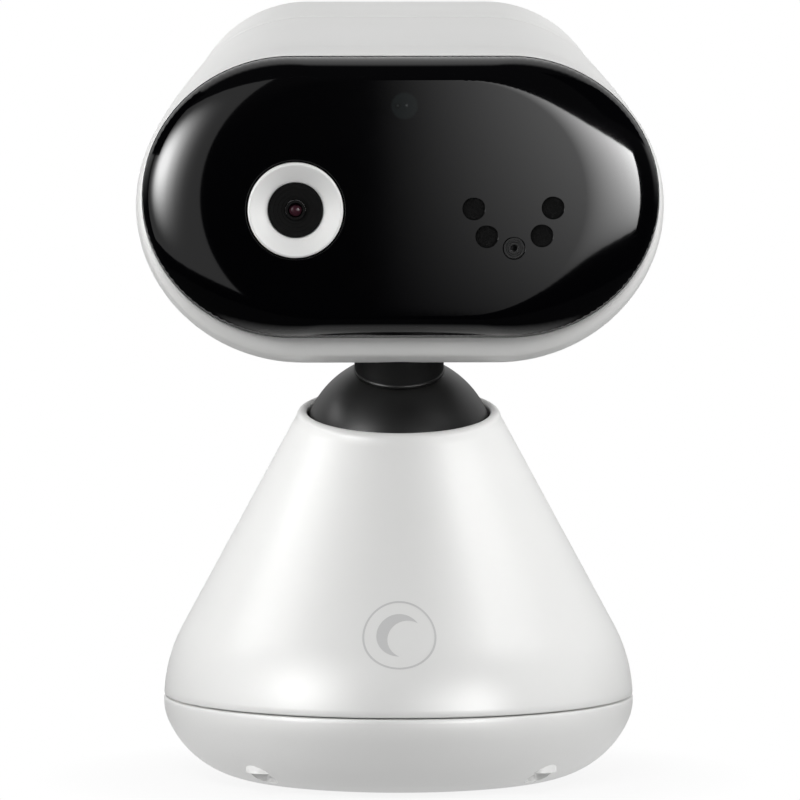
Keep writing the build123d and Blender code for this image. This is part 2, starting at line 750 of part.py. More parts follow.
def speaker_driver():
    z = SPEAKER_Z
    rim = rod_y(SPEAKER_R, SPEAKER_Y - 2.2, SPEAKER_Y, 0, z)
    magnet = rod_y(6.5, SPEAKER_Y - 6.5, SPEAKER_Y - 2.2, 0, z)
    dish = rod_y(SPEAKER_R - 1.2, SPEAKER_Y - 0.7, SPEAKER_Y, 0, z)
    dish -= rod_y(4.0, SPEAKER_Y - 0.7, SPEAKER_Y, 0, z)
    return rim + magnet - dish


def speaker_gasket():
    ring = rod_y(8.1, SPEAKER_Y, CAP_INSIDE_Y, 0, SPEAKER_Z)
    return ring - rod_y(7.3, SPEAKER_Y, CAP_INSIDE_Y, 0, SPEAKER_Z)


def antenna():
    return block((-15, 15), (3.0, 3.8), (115.0, ANTENNA_TOP))


def antenna_cable():
    back = MAIN_BOARD_Y + BOARD_T
    return swept(FilletPolyline((12, back, 108), (12, 3.4, 108), (12, 3.4, 115), radius=1.5), 0.4)


def pair_board():
    return block((PAIR_X - 3.8, PAIR_X + 4.0), (16.5, 17.5), (PAIR_Z - 5.0, PAIR_Z + 5.0))


def pair_switch():
    case = block((PAIR_X - 3.0, PAIR_X + 3.0), (17.5, 20.5), (PAIR_Z - 3.0, PAIR_Z + 3.0))
    return case + rod_y(1.4, 20.5, 21.4, PAIR_X, PAIR_Z)


def pair_button():
    flange = rod_y(PAIR_R + 0.6, 23.4, 24.9, PAIR_X, PAIR_Z)
    stem = rod_y(1.3, 22.3, 23.4, PAIR_X, PAIR_Z)
    cap = rod_y(PAIR_R, 24.9, 27.3, PAIR_X, PAIR_Z)
    cap = fillet(cap.edges().sort_by(Axis.Y)[-1], 0.5)
    return flange + stem + cap


# ================================================================ write every piece
os.makedirs("parts", exist_ok=True)

HEAD_OUTSIDE = head_body(0)
HEAD_INSIDE = head_body(WALL)

SINGLE_PIECES = [
    base_shell, base_cover, ballast_ring, pivot_frame, pan_bushing, base_board,
    power_socket, slide_switch_body, base_connector, base_cable, power_slider,
    swivel_post, pan_washer, pan_retainer, tilt_axle, swivel_cable,
    ball_dome, neck_sleeve, neck_nut, head_cable,
    front_glass, glass_seal, lens_ring, lens_shroud, lens_barrel, lens_front_element,
    lens_holder, image_sensor, sensor_board, led_board, mic_port, mic_boot, microphone,
    sensor_window, light_sensor, status_led, inner_bracket, main_board, shield_can,
    speaker_driver, speaker_gasket, antenna, antenna_cable, pair_board, pair_switch,
    pair_button,
]
REPEATED_PIECES = [
    foot_pads, base_screws, frame_screws, board_screws, tilt_washers, axle_clips,
    axle_bushes, head_screws, ir_emitters, ir_windows, bracket_screws, board_spacers,
]

for piece in SINGLE_PIECES:
    save(piece.__name__, piece())
for pieces in REPEATED_PIECES:
    save(pieces.__name__, *pieces())
save("head_shell", head_shell(HEAD_OUTSIDE, HEAD_INSIDE))
save("rear_cover", rear_cover(HEAD_OUTSIDE, HEAD_INSIDE))
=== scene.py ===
import json
from math import acos, asin, atan2, cos, hypot, pi, radians, sin, sqrt, tan

import bmesh
import bpy
from mathutils import Matrix, Vector
from mathutils.geometry import delaunay_2d_cdt


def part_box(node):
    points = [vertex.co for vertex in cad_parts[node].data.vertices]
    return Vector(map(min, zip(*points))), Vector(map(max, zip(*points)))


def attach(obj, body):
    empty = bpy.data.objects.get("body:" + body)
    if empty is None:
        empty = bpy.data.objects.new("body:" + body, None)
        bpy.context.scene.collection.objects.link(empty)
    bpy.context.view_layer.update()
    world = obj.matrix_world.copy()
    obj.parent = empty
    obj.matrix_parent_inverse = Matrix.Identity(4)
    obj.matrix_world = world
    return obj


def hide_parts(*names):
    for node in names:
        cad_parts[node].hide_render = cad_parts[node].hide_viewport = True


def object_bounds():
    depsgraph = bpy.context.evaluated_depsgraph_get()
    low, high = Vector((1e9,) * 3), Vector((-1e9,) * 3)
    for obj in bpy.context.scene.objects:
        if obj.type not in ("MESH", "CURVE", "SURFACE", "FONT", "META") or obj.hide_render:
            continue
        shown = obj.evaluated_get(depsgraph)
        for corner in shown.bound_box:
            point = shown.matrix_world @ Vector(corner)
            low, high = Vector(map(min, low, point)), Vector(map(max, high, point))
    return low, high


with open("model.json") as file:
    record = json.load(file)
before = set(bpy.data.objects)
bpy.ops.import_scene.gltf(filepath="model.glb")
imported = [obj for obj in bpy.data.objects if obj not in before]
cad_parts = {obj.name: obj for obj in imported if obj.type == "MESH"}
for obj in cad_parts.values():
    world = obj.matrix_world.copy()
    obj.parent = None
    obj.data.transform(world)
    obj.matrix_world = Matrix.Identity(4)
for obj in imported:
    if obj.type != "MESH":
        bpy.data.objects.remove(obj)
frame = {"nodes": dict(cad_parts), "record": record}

CAD_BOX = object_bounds()
MM = 0.001

# ---------------------------------------------------------------- base, in metres
BASE_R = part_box("base_cover")[1].x
BASE_WIDE_Z = 13.0 * MM
SEAM_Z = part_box("base_shell")[0].z
SEAM_GAP = 0.25 * MM
EDGE = 0.3 * MM                 # small rounding of a moulded edge
FOOT_HEIGHT = 0.3 * MM
FOOT_REACH = 18.0 * MM
FOOT_POCKET_R = 3.6 * MM
CONE_ANGLE = radians(28.4)
SHOULDER_R = 25.6 * MM
BOWL_UPPER_R = 8.0 * MM
BOWL_UPPER_ANGLE = radians(23)
BASE_WALL = 2.2 * MM
RIM_Z = 60.8 * MM               # rim height over the middle of the base
RIM_TILT = radians(9.6)         # the rim drops towards the front
LIP_HEIGHT = 0.9 * MM
WELL_R = 2.3 * MM
WELL_REACH = 31.5 * MM
WELL_TOP_Z = 8.0 * MM
SCREW_HOLE_R = 1.2 * MM
POST_R = 2.9 * MM
SOCKET_Z = 18.5 * MM
SLIDER_ANGLE = radians(28)
SLIDER_Z = 19.0 * MM
SOCKET_SIZE = (12.4 * MM, 6.0 * MM, 1.5 * MM)       # opening: width, height, corner radius
SLIDER_SIZE = (7.8 * MM, 3.0 * MM, 0.8 * MM)
REAR_CUT_Y = 36 * MM            # middle of both openings' cutters, in the rear wall

# ---------------------------------------------------------------- ball joint
BALL_Z = 53.9 * MM
BALL_R = 15.9 * MM
BALL_WALL = 2.0 * MM
BALL_CUT = -6.0 * MM
SOCKET_R = BALL_R + 0.3 * MM
SOCKET_END_Z = BALL_Z + 2.4 * MM        # where the round socket ends inside the cone
NECK_LEAN = radians(20)
NECK_R = 7.3 * MM
STEM_R = 6.0 * MM
NECK_BORE = 4.5 * MM
SLEEVE_TOP = 27.6 * MM
STEM_TOP = 31.8 * MM

# ---------------------------------------------------------------- head
WALL = 1.8 * MM
FRONT_Y = -18.5 * MM
PARTING_Y = 10.0 * MM
PARTING_GAP = 0.15 * MM
OVAL_END = 1.06                 # reach of the oval's round ends over half its height
# Oval sections of the housing: y, width, height, middle height, in millimetres.
HEAD_SECTIONS = [
    (-18.5, 84.8, 48.9, 95.55),
    (-12.0, 85.8, 51.3, 94.95),
    (0.0, 81.4, 47.5, 98.6),
    (12.0, 71.9, 40.0, 105.2),
    (20.0, 64.0, 33.0, 110.0),
    (24.5, 58.0, 27.5, 110.0),
    (27.0, 50.0, 20.0, 110.0),
]
CAP_Y = 27.0 * MM
GLASS_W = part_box("front_glass")[1].x * 2
GLASS_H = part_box("front_glass")[1].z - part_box("front_glass")[0].z
GLASS_Z = (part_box("front_glass")[1].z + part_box("front_glass")[0].z) / 2
GLASS_BACK_Y = -17.5 * MM
GLASS_EDGE_Y = -18.6 * MM
GLASS_DEPTH = 5.6 * MM
GLASS_ROLL_X = 12.0 * MM
GLASS_ROLL_Z = 3.8 * MM
GLASS_WALL = 1.6 * MM
GLASS_GAP = 0.06 * MM           # between the window and the housing, all round
GLASS_LEDGE = (2.6 * MM, 2.5 * MM)      # overlap of window and housing at the ends and the sides
LIP_DEPTH = 1.6 * MM            # depth of the housing's rounded front lip
CROWN_X = 1.2 * MM              # slight bow of the window across its width and its height
CROWN_Z = 0.7 * MM
HOLE_BEVEL = 0.07 * MM
GLASS_FRONT_Y = GLASS_EDGE_Y - GLASS_DEPTH
LEDGE_Y = GLASS_BACK_Y + 0.3 * MM
LENS_X = -17.1 * MM
LENS_Z = GLASS_Z - 1.8 * MM
RING_R = 7.7 * MM
RING_HOLE_R = 4.45 * MM
GROOVE_R = 8.05 * MM
PUPIL_R = 1.6 * MM
POCKET_R = 1.8 * MM
EMITTER_PLACES = [(11.7, -1.6), (24.5, -1.5), (13.8, -6.1), (22.7, -6.0)]
MIC_PLACE = (18.2, -8.0)
WINDOW_PLACE = (0.5, 15.0)
WINDOW_R = 2.3 * MM
SPEAKER_Z = 110.0 * MM
SPEAKER_HOLE_R = 0.75 * MM
HEAD_SCREW_R = 2.4 * MM
HEAD_SCREW_SEAT_Y = PARTING_Y + 3 * MM
HEAD_SCREWS = [(-20.0, 91.5), (20.0, 91.5), (-22.0, 115.0), (22.0, 115.0)]
PAIR_X = -15.0 * MM
PAIR_Z = 107.5 * MM
PAIR_R = 2.4 * MM

# ---------------------------------------------------------------- mark, camera and light
MARK_X = -0.55 * MM
MARK_Z = 27.0 * MM
MARK_R = 3.7 * MM
CIRCLE_R = 5.97 * MM
CIRCLE_LINE = 0.32 * MM
MARK_THICKNESS = 0.05 * MM
FLOOR_R = 0.16
BOUNCE = (0.60, 0.02)           # light that the floor gives back near the base and far away
ROOM_DIFFUSE = (0.42, 0.42)     # brightness of the room in front and of the backdrop
ROOM_GLOSSY = (0.03, 0.9)
ROOM_BELOW = 0.01               # share of the room's light that comes from below
LEFT_POWER = 21.0
RIGHT_POWER = 25.0
RAMP_POWER = 1.3
HIGH_POWER = 10.0
FRONT_LIGHT = 7.6
LEFT_LIGHT = 9.0
RIGHT_LIGHT = 9.0
CAMERA_DISTANCE = 1.6
CAMERA_HEIGHT = 0.19
CAMERA_SIDE = -0.032            # the camera stands slightly to the left
AIM = Vector((0.00025, 0, 0.0622))
FRAME_WIDTH = 0.1312            # width of the view at the object
SENSOR = 36.0

AROUND = 256                    # points around a turned piece
ARC_POINTS = 56                 # points on each round end of an oval
FLAT_POINTS = 30                # points along each flat side of an oval


# ================================================================ materials
def new_material(name):
    material = bpy.data.materials.new(name)
    material.use_nodes = True
    return material


def link(material, source, target):
    material.node_tree.links.new(source, target)


def add_node(owner, kind, inputs=None, **settings):
    """A new node in a material or world. Each input gets a value, or another node's output."""
    tree = owner.node_tree
    made = tree.nodes.new("ShaderNode" + kind)
    for name, value in settings.items():
        setattr(made, name, value)
    for socket, value in (inputs or {}).items():
        if isinstance(value, bpy.types.NodeSocket):
            tree.links.new(value, made.inputs[socket])
        else:
            made.inputs[socket].default_value = value
    return made


def ramp_node(owner, value, source, target, kind="LINEAR"):
    """Carries a value from one range to another."""
    inputs = {"Value": value, "From Min": source[0], "From Max": source[1],
              "To Min": target[0], "To Max": target[1]}
    return add_node(owner, "MapRange", inputs, interpolation_type=kind).outputs["Result"]


def product_node(owner, first, second):
    return add_node(owner, "Math", {0: first, 1: second}, operation="MULTIPLY").outputs["Value"]


def show_by_ray(owner, lit, seen, output):
    """Lights the scene with one shader and shows the camera another."""
    path = add_node(owner, "LightPath").outputs["Is Camera Ray"]
    choose = add_node(owner, "MixShader", {"Fac": path, 1: lit, 2: seen})
    link(owner, choose.outputs["Shader"], owner.node_tree.nodes[output].inputs["Surface"])


def noise(material, scale, detail, stretch=(1, 1, 1)):
    """Noise in the piece's own space, its scale in waves per metre."""
    place = add_node(material, "TexCoord").outputs["Object"]
    mapping = add_node(material, "Mapping", {"Vector": place, "Scale": stretch})
    inputs = {"Vector": mapping.outputs["Vector"], "Scale": scale, "Detail": detail}
    return add_node(material, "TexNoise", inputs).outputs["Fac"]


def surface(name, dark, light, rough, patch=60, grain=2500, bump=0.02, metallic=0.0,
            stretch=(1, 1, 1), ior=1.5):
    """Principled material: two close colours in soft patches, uneven gloss and a fine grain."""
    material = new_material(name)
    patches = noise(material, patch, 3, stretch)
    inputs = {"Factor": patches, "A": (*dark, 1), "B": (*light, 1)}
    colour = add_node(material, "Mix", inputs, data_type="RGBA")
    gloss = ramp_node(material, noise(material, patch * 4, 4, stretch), (0, 1), rough)
    grains = noise(material, grain, 2, stretch)
    relief = add_node(material, "Bump", {"Strength": bump, "Distance": 0.1 * MM, "Height": grains})
    shader = material.node_tree.nodes["Principled BSDF"]
    shader.inputs["Metallic"].default_value = metallic
    shader.inputs["IOR"].default_value = ior
    link(material, colour.outputs["Result"], shader.inputs["Base Color"])
    link(material, gloss, shader.inputs["Roughness"])
    link(material, relief.outputs["Normal"], shader.inputs["Normal"])
    return material


def grey(value):
    return (value, value, value)


# Name, darker colour, lighter colour, roughness from and to, and what differs from plain plastic.
SURFACES = [
    ("white_shell", (0.80, 0.80, 0.79), (0.84, 0.84, 0.83), (0.34, 0.40),
     {"grain": 4200, "bump": 0.05}),
    ("black_satin", grey(0.004), grey(0.007), (0.33, 0.39),
     {"grain": 5200, "bump": 0.05, "ior": 1.36}),
    ("lens_black", grey(0.003), grey(0.005), (0.5, 0.6),
     {"grain": 5200, "bump": 0.05, "ior": 1.12}),
    ("black_window", (0.0010, 0.0010, 0.0013), (0.0016, 0.0016, 0.0022), (0.05, 0.075),
     {"grain": 900, "bump": 0.0015}),
    ("ring_white", (0.82, 0.82, 0.81), (0.86, 0.86, 0.85), (0.46, 0.54),
     {"grain": 5200, "bump": 0.03}),
    ("soft_rubber", grey(0.05), grey(0.08), (0.65, 0.8), {"grain": 3800, "bump": 0.25}),
    ("grey_button", (0.46, 0.47, 0.48), (0.53, 0.54, 0.55), (0.42, 0.52),
     {"grain": 4800, "bump": 0.15}),
    ("cable_jacket", grey(0.02), grey(0.035), (0.45, 0.6), {}),
    ("circuit_board", (0.01, 0.12, 0.05), (0.02, 0.17, 0.08), (0.3, 0.45),
     {"patch": 400, "grain": 2400, "bump": 0.2}),
    ("steel", (0.50, 0.50, 0.51), (0.62, 0.62, 0.63), (0.24, 0.38),
     {"patch": 250, "grain": 1800, "bump": 0.1, "metallic": 1.0, "stretch": (1, 1, 6)}),
    ("brass", (0.62, 0.45, 0.16), (0.72, 0.55, 0.24), (0.25, 0.38),
     {"patch": 300, "metallic": 1.0, "stretch": (1, 6, 1)}),
    ("bearing_plastic", (0.70, 0.69, 0.63), (0.78, 0.77, 0.72), (0.35, 0.5), {}),
    ("component_black", (0.015, 0.015, 0.016), grey(0.03), (0.5, 0.65),
     {"patch": 500, "grain": 6000, "bump": 0.3}),
    ("clear_optic", (0.03, 0.025, 0.035), (0.05, 0.04, 0.06), (0.03, 0.06), {"bump": 0.001}),
    ("pocket_filter", grey(0.0005), grey(0.006), (0.45, 0.70),
     {"patch": 2600, "grain": 3400, "bump": 1.0, "ior": 1.12}),
    ("mark_grey", grey(0.58), grey(0.64), (0.3, 0.4), {"grain": 5000, "bump": 0.05}),
    # dark lens glass, with a red tint that stands in for the coloured reflections of its coating:
    # painted reflection
    ("lens_coating", (0.035, 0.010, 0.016), (0.09, 0.03, 0.045), (0.05, 0.09),
     {"patch": 900, "bump": 0.001, "ior": 1.3}),
    # light grey that stands in for the shine on the lens's metal rim: a painted highlight
    ("lens_rim", grey(0.55), grey(0.70), (0.25, 0.35), {}),
]


def make_materials():
    made = {}
    for name, dark, light, rough, details in SURFACES:
        made[name] = surface(name, dark, light, rough, **details)
    add_smoky_spot(made["black_window"])
    return made


def spot_mask(material, x, z, radius, soft):
    """One inside a circle on the window, nothing outside it."""
    place = add_node(material, "TexCoord").outputs["Object"]
    flat = add_node(material, "VectorMath", {0: place, 1: (1, 0, 1)}, operation="MULTIPLY")
    ends = {0: flat.outputs["Vector"], 1: (x, 0, z)}
    away = add_node(material, "VectorMath", ends, operation="DISTANCE")
    return ramp_node(material, away.outputs["Value"], (radius - soft, radius), (1, 0))


def add_smoky_spot(material):
    """The clearer spot over the light sensor, with the sensor and lamp showing through."""
    shader = material.node_tree.nodes["Principled BSDF"]
    colour = shader.inputs["Base Color"].links[0].from_socket
    x, z = WINDOW_PLACE[0] * MM, GLASS_Z + WINDOW_PLACE[1] * MM
    # Middle, radius, width of the soft edge and colour of each disc.
    spots = [
        (x, z, WINDOW_R, 0.35 * MM, (0.0075, 0.010, 0.0105)),
        (x - 1.1 * MM, z, 0.55 * MM, 0.30 * MM, (0.0025, 0.003, 0.003)),
        (x - 1.1 * MM, z + 0.05 * MM, 0.30 * MM, 0.20 * MM, (0.020, 0.024, 0.024)),
        (x + 0.35 * MM, z + 0.1 * MM, 0.28 * MM, 0.20 * MM, (0.06, 0.065, 0.065)),
    ]
    for spot_x, spot_z, radius, soft, tint in spots:
        mask = spot_mask(material, spot_x, spot_z, radius, soft)
        inputs = {"Factor": mask, "A": colour, "B": (*tint, 1)}
        colour = add_node(material, "Mix", inputs, data_type="RGBA").outputs["Result"]
    link(material, colour, shader.inputs["Base Color"])


# ================================================================ mesh helpers
def add_object(name, data):
    made = bpy.data.objects.new(name, data)
    bpy.context.scene.collection.objects.link(made)
    return made


def add_piece(name, vertices, faces, material, body, replaced=(), slot=None, crease=radians(35)):
    mesh = bpy.data.meshes.new(name)
    mesh.from_pydata([tuple(v) for v in vertices], [], faces)
    tidy_mesh(mesh)
    finish_mesh(mesh, crease)
    piece = add_object(name, mesh)
    mesh.materials.append(MATERIALS[material])
    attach(piece, body)
    if replaced:
        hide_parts(*replaced)
    return piece


def tidy_mesh(mesh):
    """Merges equal points, drops what has no face and turns all faces outwards."""
    work = bmesh.new()
    work.from_mesh(mesh)
    bmesh.ops.remove_doubles(work, verts=work.verts, dist=0.002 * MM)
    bmesh.ops.dissolve_degenerate(work, edges=work.edges, dist=0.001 * MM)
    loose = [edge for edge in work.edges if not edge.link_faces]
    bmesh.ops.delete(work, geom=loose, context="EDGES")
    bmesh.ops.recalc_face_normals(work, faces=work.faces)
    work.to_mesh(mesh)
    work.free()


def finish_mesh(mesh, crease):
    mesh.shade_smooth()
    mesh.set_sharp_from_angle(angle=crease)


def skin(rings, wrap=False):
    """Quads between rings of equal length, each ring closed on itself."""
    count = len(rings[0])
    vertices = [point for ring in rings for point in ring]
    faces = []
    for k in range(len(rings) if wrap else len(rings) - 1):
        here = k * count
        there = ((k + 1) % len(rings)) * count
        for i in range(count):
            j = (i + 1) % count
            faces.append((here + i, here + j, there + j, there + i))
    return vertices, faces


def turned_rings(profile, count=AROUND):
    """Rings about +Z from a profile of (radius, height)."""
    return [
        [(r * cos(2 * pi * k / count), r * sin(2 * pi * k / count), z) for k in range(count)]
        for r, z in profile
    ]


def spread(start, end, steps):
    """Evenly spaced values from start to end."""
    return [start + (end - start) * k / steps for k in range(steps + 1)]


def arc(middle, radius, start, end, steps):
    """Points of an arc in the profile plane, angles in radians."""
    return [
        (middle[0] + radius * cos(angle), middle[1] + radius * sin(angle))
        for angle in spread(start, end, steps)
    ]


def line(start, end, steps):
    """Points after start, up to end."""
    return list(zip(*(spread(a, b, steps)[1:] for a, b in zip(start, end))))


def placed(rings, matrix):
    return [[matrix @ Vector(point) for point in ring] for ring in rings]


LEANING = Matrix.Translation((0, 0, BALL_Z)) @ Matrix.Rotation(NECK_LEAN, 4, "X")


def facing_front(x, z):
    """Carries a profile turned about +Z to face -Y at a place on the head."""
    return Matrix.Translation((x, 0, z)) @ Matrix.Rotation(pi / 2, 4, "X")


LENS_PLACE = facing_front(LENS_X, LENS_Z)


def merged(groups):
    """One mesh of (vertices, faces) from several."""
    vertices, faces = [], []
    for group_vertices, group_faces in groups:
        start = len(vertices)
        vertices += [tuple(v) for v in group_vertices]
        faces += [tuple(start + i for i in face) for face in group_faces]
    return vertices, faces


def cutter(groups):
    """One hidden object from several closed meshes."""
    vertices, faces = merged(groups)
    mesh = bpy.data.meshes.new("cutter")
    mesh.from_pydata(vertices, [], faces)
    tidy_mesh(mesh)
    return add_object("cutter", mesh)


def turned_piece(name, profile, count, place, material, replaced=(), slot=None, wrap=True):
    """A piece of the head turned from a profile of (radius, height)."""
    rings = placed(turned_rings(profile, count), place)
    return add_piece(name, *skin(rings, wrap), material, "head", replaced, slot)


def closed_rod(profile, matrix, count=48):
    """A turned solid whose profile starts and ends on the axis."""
    return skin(placed(turned_rings(profile, count), matrix))


def rod_profile(radius, low, high):
    return [(0, low), (radius, low), (radius, high), (0, high)]


def carve(piece, tool, operation="DIFFERENCE", crease=radians(35)):
    """Cuts a tool out of a piece, or joins it on, and removes the tool."""
    change = piece.modifiers.new("carve", "BOOLEAN")
    change.operation = operation
    change.object = tool
    change.solver = "EXACT"
    bpy.context.view_layer.update()
    shape = piece.evaluated_get(bpy.context.evaluated_depsgraph_get())
    mesh = bpy.data.meshes.new_from_object(shape)
    piece.modifiers.clear()
    piece.data = mesh
    finish_mesh(mesh, crease)
    bpy.data.objects.remove(tool)


def four_corners(reach):
    """Corners of a square about the base's axis, at a distance from it."""
    side = reach / sqrt(2)
    return [(x * side, y * side) for x in (-1, 1) for y in (-1, 1)]


def rounded_block(width, depth, corner, matrix, height=12 * MM):
    """A closed block with rounded vertical edges, in rings about +Z."""
    outline = []
    for quarter, (x, y) in enumerate([(1, 1), (-1, 1), (-1, -1), (1, -1)]):
        middle = (x * (width / 2 - corner), y * (depth / 2 - corner))
        outline += arc(middle, corner, quarter * pi / 2, (quarter + 1) * pi / 2, 6)
    rings = [[(0, 0, -height / 2)] * len(outline)]
    rings += [[(x, y, z) for x, y in outline] for z in (-height / 2, height / 2)]
    rings += [[(0, 0, height / 2)] * len(outline)]
    return skin(placed(rings, matrix))


# ================================================================ base
def cone_radius(z, inset=0.0):
    """Outer radius of the cone shell at a height."""
    middle_r = BASE_R - SHOULDER_R
    radius = SHOULDER_R - inset
    bend_z = BASE_WIDE_Z + radius * sin(CONE_ANGLE)
    if z <= bend_z:
        return middle_r + sqrt(radius ** 2 - (z - BASE_WIDE_Z) ** 2)
    return middle_r + radius * cos(CONE_ANGLE) - (z - bend_z) * tan(CONE_ANGLE)


def rim_z(y):
    return RIM_Z + y * tan(RIM_TILT)


def socket_radius(z):
    """Radius of the round socket that the ball turns in, at a height."""
    return sqrt(SOCKET_R ** 2 - (z - BALL_Z) ** 2)


def rim_points(angle):
    """Where the lip starts on the outer wall and ends on the socket, for one direction."""
    outer_z = RIM_Z
    inner_z = RIM_Z
    for _ in range(12):
        outer_z = rim_z(cone_radius(outer_z) * sin(angle))
        inner_z = rim_z(socket_radius(inner_z) * sin(angle))
    outer_z -= LIP_HEIGHT
    inner_z -= LIP_HEIGHT * 0.75
    return (cone_radius(outer_z), outer_z), (socket_radius(inner_z), inner_z)


def cone_section(angle):
    """Closed cross-section of the shell in one direction: outer wall, lip, socket, inner wall."""
    outer, inner = rim_points(angle)
    bottom = SEAM_Z
    points = [(cone_radius(bottom) - EDGE, bottom)]
    points += [(cone_radius(bottom + EDGE) - EDGE * 0.3, bottom + EDGE * 0.25)]
    for z in spread(bottom + EDGE, outer[1], 46):
        points.append((cone_radius(z), z))
    middle = ((outer[0] + inner[0]) / 2, (outer[1] + inner[1]) / 2)
    half = ((outer[0] - inner[0]) / 2, (outer[1] - inner[1]) / 2)
    for turn in spread(0, pi, 14)[1:-1]:
        across = cos(turn)
        rise = LIP_HEIGHT * 0.95 * sin(turn) ** 0.8
        points.append((middle[0] + half[0] * across, middle[1] + half[1] * across + rise))
    points.append(inner)
    for z in spread(inner[1], SOCKET_END_Z, 6)[1:]:
        points.append((socket_radius(z), z))
    for z in spread(SOCKET_END_Z - 0.2 * MM, bottom, 8):
        points.append((cone_radius(z, BASE_WALL), z))
    return points


def base_cone():
    """The cone shell with the openings for the power inlet and the slide switch."""
    turns = [2 * pi * k / AROUND for k in range(AROUND)]
    rings = []
    for row in zip(*(cone_section(turn) for turn in turns)):
        rings.append([(r * cos(turn), r * sin(turn), z) for turn, (r, z) in zip(turns, row)])
    cone = add_piece("base_cone", *skin(rings, wrap=True), "white_shell", "base", ["base_shell"])
    upright = Matrix.Rotation(pi / 2, 4, "X")
    rear = Matrix.Translation((0, REAR_CUT_Y, SOCKET_Z)) @ upright
    slide = Matrix.Rotation(SLIDER_ANGLE, 4, "Z")
    slide = slide @ Matrix.Translation((0, REAR_CUT_Y, SLIDER_Z)) @ upright
    carve(cone, cutter([
        rounded_block(*SOCKET_SIZE, rear),
        rounded_block(*SLIDER_SIZE, slide),
    ]))


def bowl_profile():
    """Closed section of the bottom cover, from the seam down the outside and back inside."""
    lower_r = (BASE_WIDE_Z - FOOT_HEIGHT - BOWL_UPPER_R * sin(BOWL_UPPER_ANGLE))
    lower_r /= 1 - sin(BOWL_UPPER_ANGLE)
    upper = (BASE_R - BOWL_UPPER_R, BASE_WIDE_Z)
    reach = BOWL_UPPER_R - lower_r
    lower = (
        upper[0] + reach * cos(BOWL_UPPER_ANGLE),
        upper[1] - reach * sin(BOWL_UPPER_ANGLE),
    )
    top = SEAM_Z - SEAM_GAP
    down = -BOWL_UPPER_ANGLE
    outer = [(BASE_R - EDGE, top), (BASE_R - EDGE * 0.3, top - EDGE * 0.3), (BASE_R, top - EDGE)]
    outer += arc(upper, BOWL_UPPER_R, 0, down, 8)
    outer += arc(lower, lower_r, down, -pi / 2, 28)[1:]
    outer += line(outer[-1], (0, outer[-1][1]), 8)
    inner = [(0, FOOT_HEIGHT + BASE_WALL)]
    inner += arc(lower, lower_r - BASE_WALL, -pi / 2, down, 16)
    inner += arc(upper, BOWL_UPPER_R - BASE_WALL, down, 0, 4)[1:]
    inner += [(BASE_R - BASE_WALL, top)]
    return outer + inner


def bottom_bowl():
    """The bottom cover with its screw posts, screw wells and pockets for the feet."""
    rings = turned_rings(bowl_profile())
    bowl = add_piece(
        "bottom_bowl", *skin(rings, wrap=True), "white_shell", "base", ["base_cover"])
    posts, wells = [], []
    for x, y in four_corners(WELL_REACH):
        place = Matrix.Translation((x, y, 0))
        posts.append(closed_rod(rod_profile(POST_R, 3.5 * MM, SEAM_Z - SEAM_GAP), place))
        wells.append(closed_rod([
            (0, -MM), (WELL_R, -MM), (WELL_R, WELL_TOP_Z), (SCREW_HOLE_R, WELL_TOP_Z),
            (SCREW_HOLE_R, SEAM_Z + MM), (0, SEAM_Z + MM)], place))
    for x, y in four_corners(FOOT_REACH):
        place = Matrix.Translation((x, y, 0))
        wells.append(closed_rod(rod_profile(FOOT_POCKET_R, -MM, FOOT_HEIGHT + MM), place))
    carve(bowl, cutter(posts), "UNION")
    carve(bowl, cutter(wells))


def crescent_mark():
    """A plain crescent inside a thin circle, inlaid in the cone on the cone's own surface."""
    steps = 96
    tip = radians(62)
    inner_shift = 0.42 * MARK_R
    tip_point = (MARK_R * cos(tip), MARK_R * sin(tip))
    inner_r = hypot(tip_point[0] - inner_shift, tip_point[1])
    start = atan2(tip_point[1], tip_point[0] - inner_shift)
    crescent, ring = [], []
    for k in range(steps + 1):
        turn = tip + (2 * pi - 2 * tip) * k / steps
        inner_turn = start + (2 * pi - 2 * start) * k / steps
        outside = (MARK_R * cos(turn), MARK_R * sin(turn))
        inside = (inner_shift + inner_r * cos(inner_turn), inner_r * sin(inner_turn))
        crescent.append((outside, inside))
        turn = 2 * pi * k / steps
        ring.append([(r * cos(turn), r * sin(turn)) for r in (CIRCLE_R, CIRCLE_R - CIRCLE_LINE)])
    vertices, faces = [], []
    add_inlay(vertices, faces, crescent, 5)
    add_inlay(vertices, faces, ring, 1)
    add_piece("crescent_mark", vertices, faces, "mark_grey", "base", slot="grey_button")


def add_inlay(vertices, faces, edges, across):
    """A thin strip on the cone between pairs of places, with a top, a bottom and two sides."""
    rows = across + 1
    layer = len(edges) * rows
    first = len(vertices)
    for lift in (MARK_THICKNESS, -MARK_THICKNESS):
        for outside, inside in edges:
            for j in range(rows):
                spot = [a + (b - a) * j / across for a, b in zip(outside, inside)]
                vertices.append(on_cone(spot, lift))
    for k in range(len(edges) - 1):
        row = first + k * rows
        for a in range(row, row + across):
            faces.append((a, a + 1, a + rows + 1, a + rows))
            faces.append((layer + a, layer + a + rows, layer + a + rows + 1, layer + a + 1))
        for a in (row, row + across):
            faces.append((a, a + rows, layer + a + rows, layer + a))


def on_cone(spot, lift):
    """A place on the front of the cone from (along, up the slope) about the mark's middle."""
    tilt = radians(-28)
    along = spot[0] * cos(tilt) - spot[1] * sin(tilt)
    up = spot[0] * sin(tilt) + spot[1] * cos(tilt)
    z = MARK_Z + up * cos(CONE_ANGLE)
    angle = (MARK_X + along) / cone_radius(MARK_Z)
    r = cone_radius(z) + lift
    return (r * sin(angle), -r * cos(angle), z)


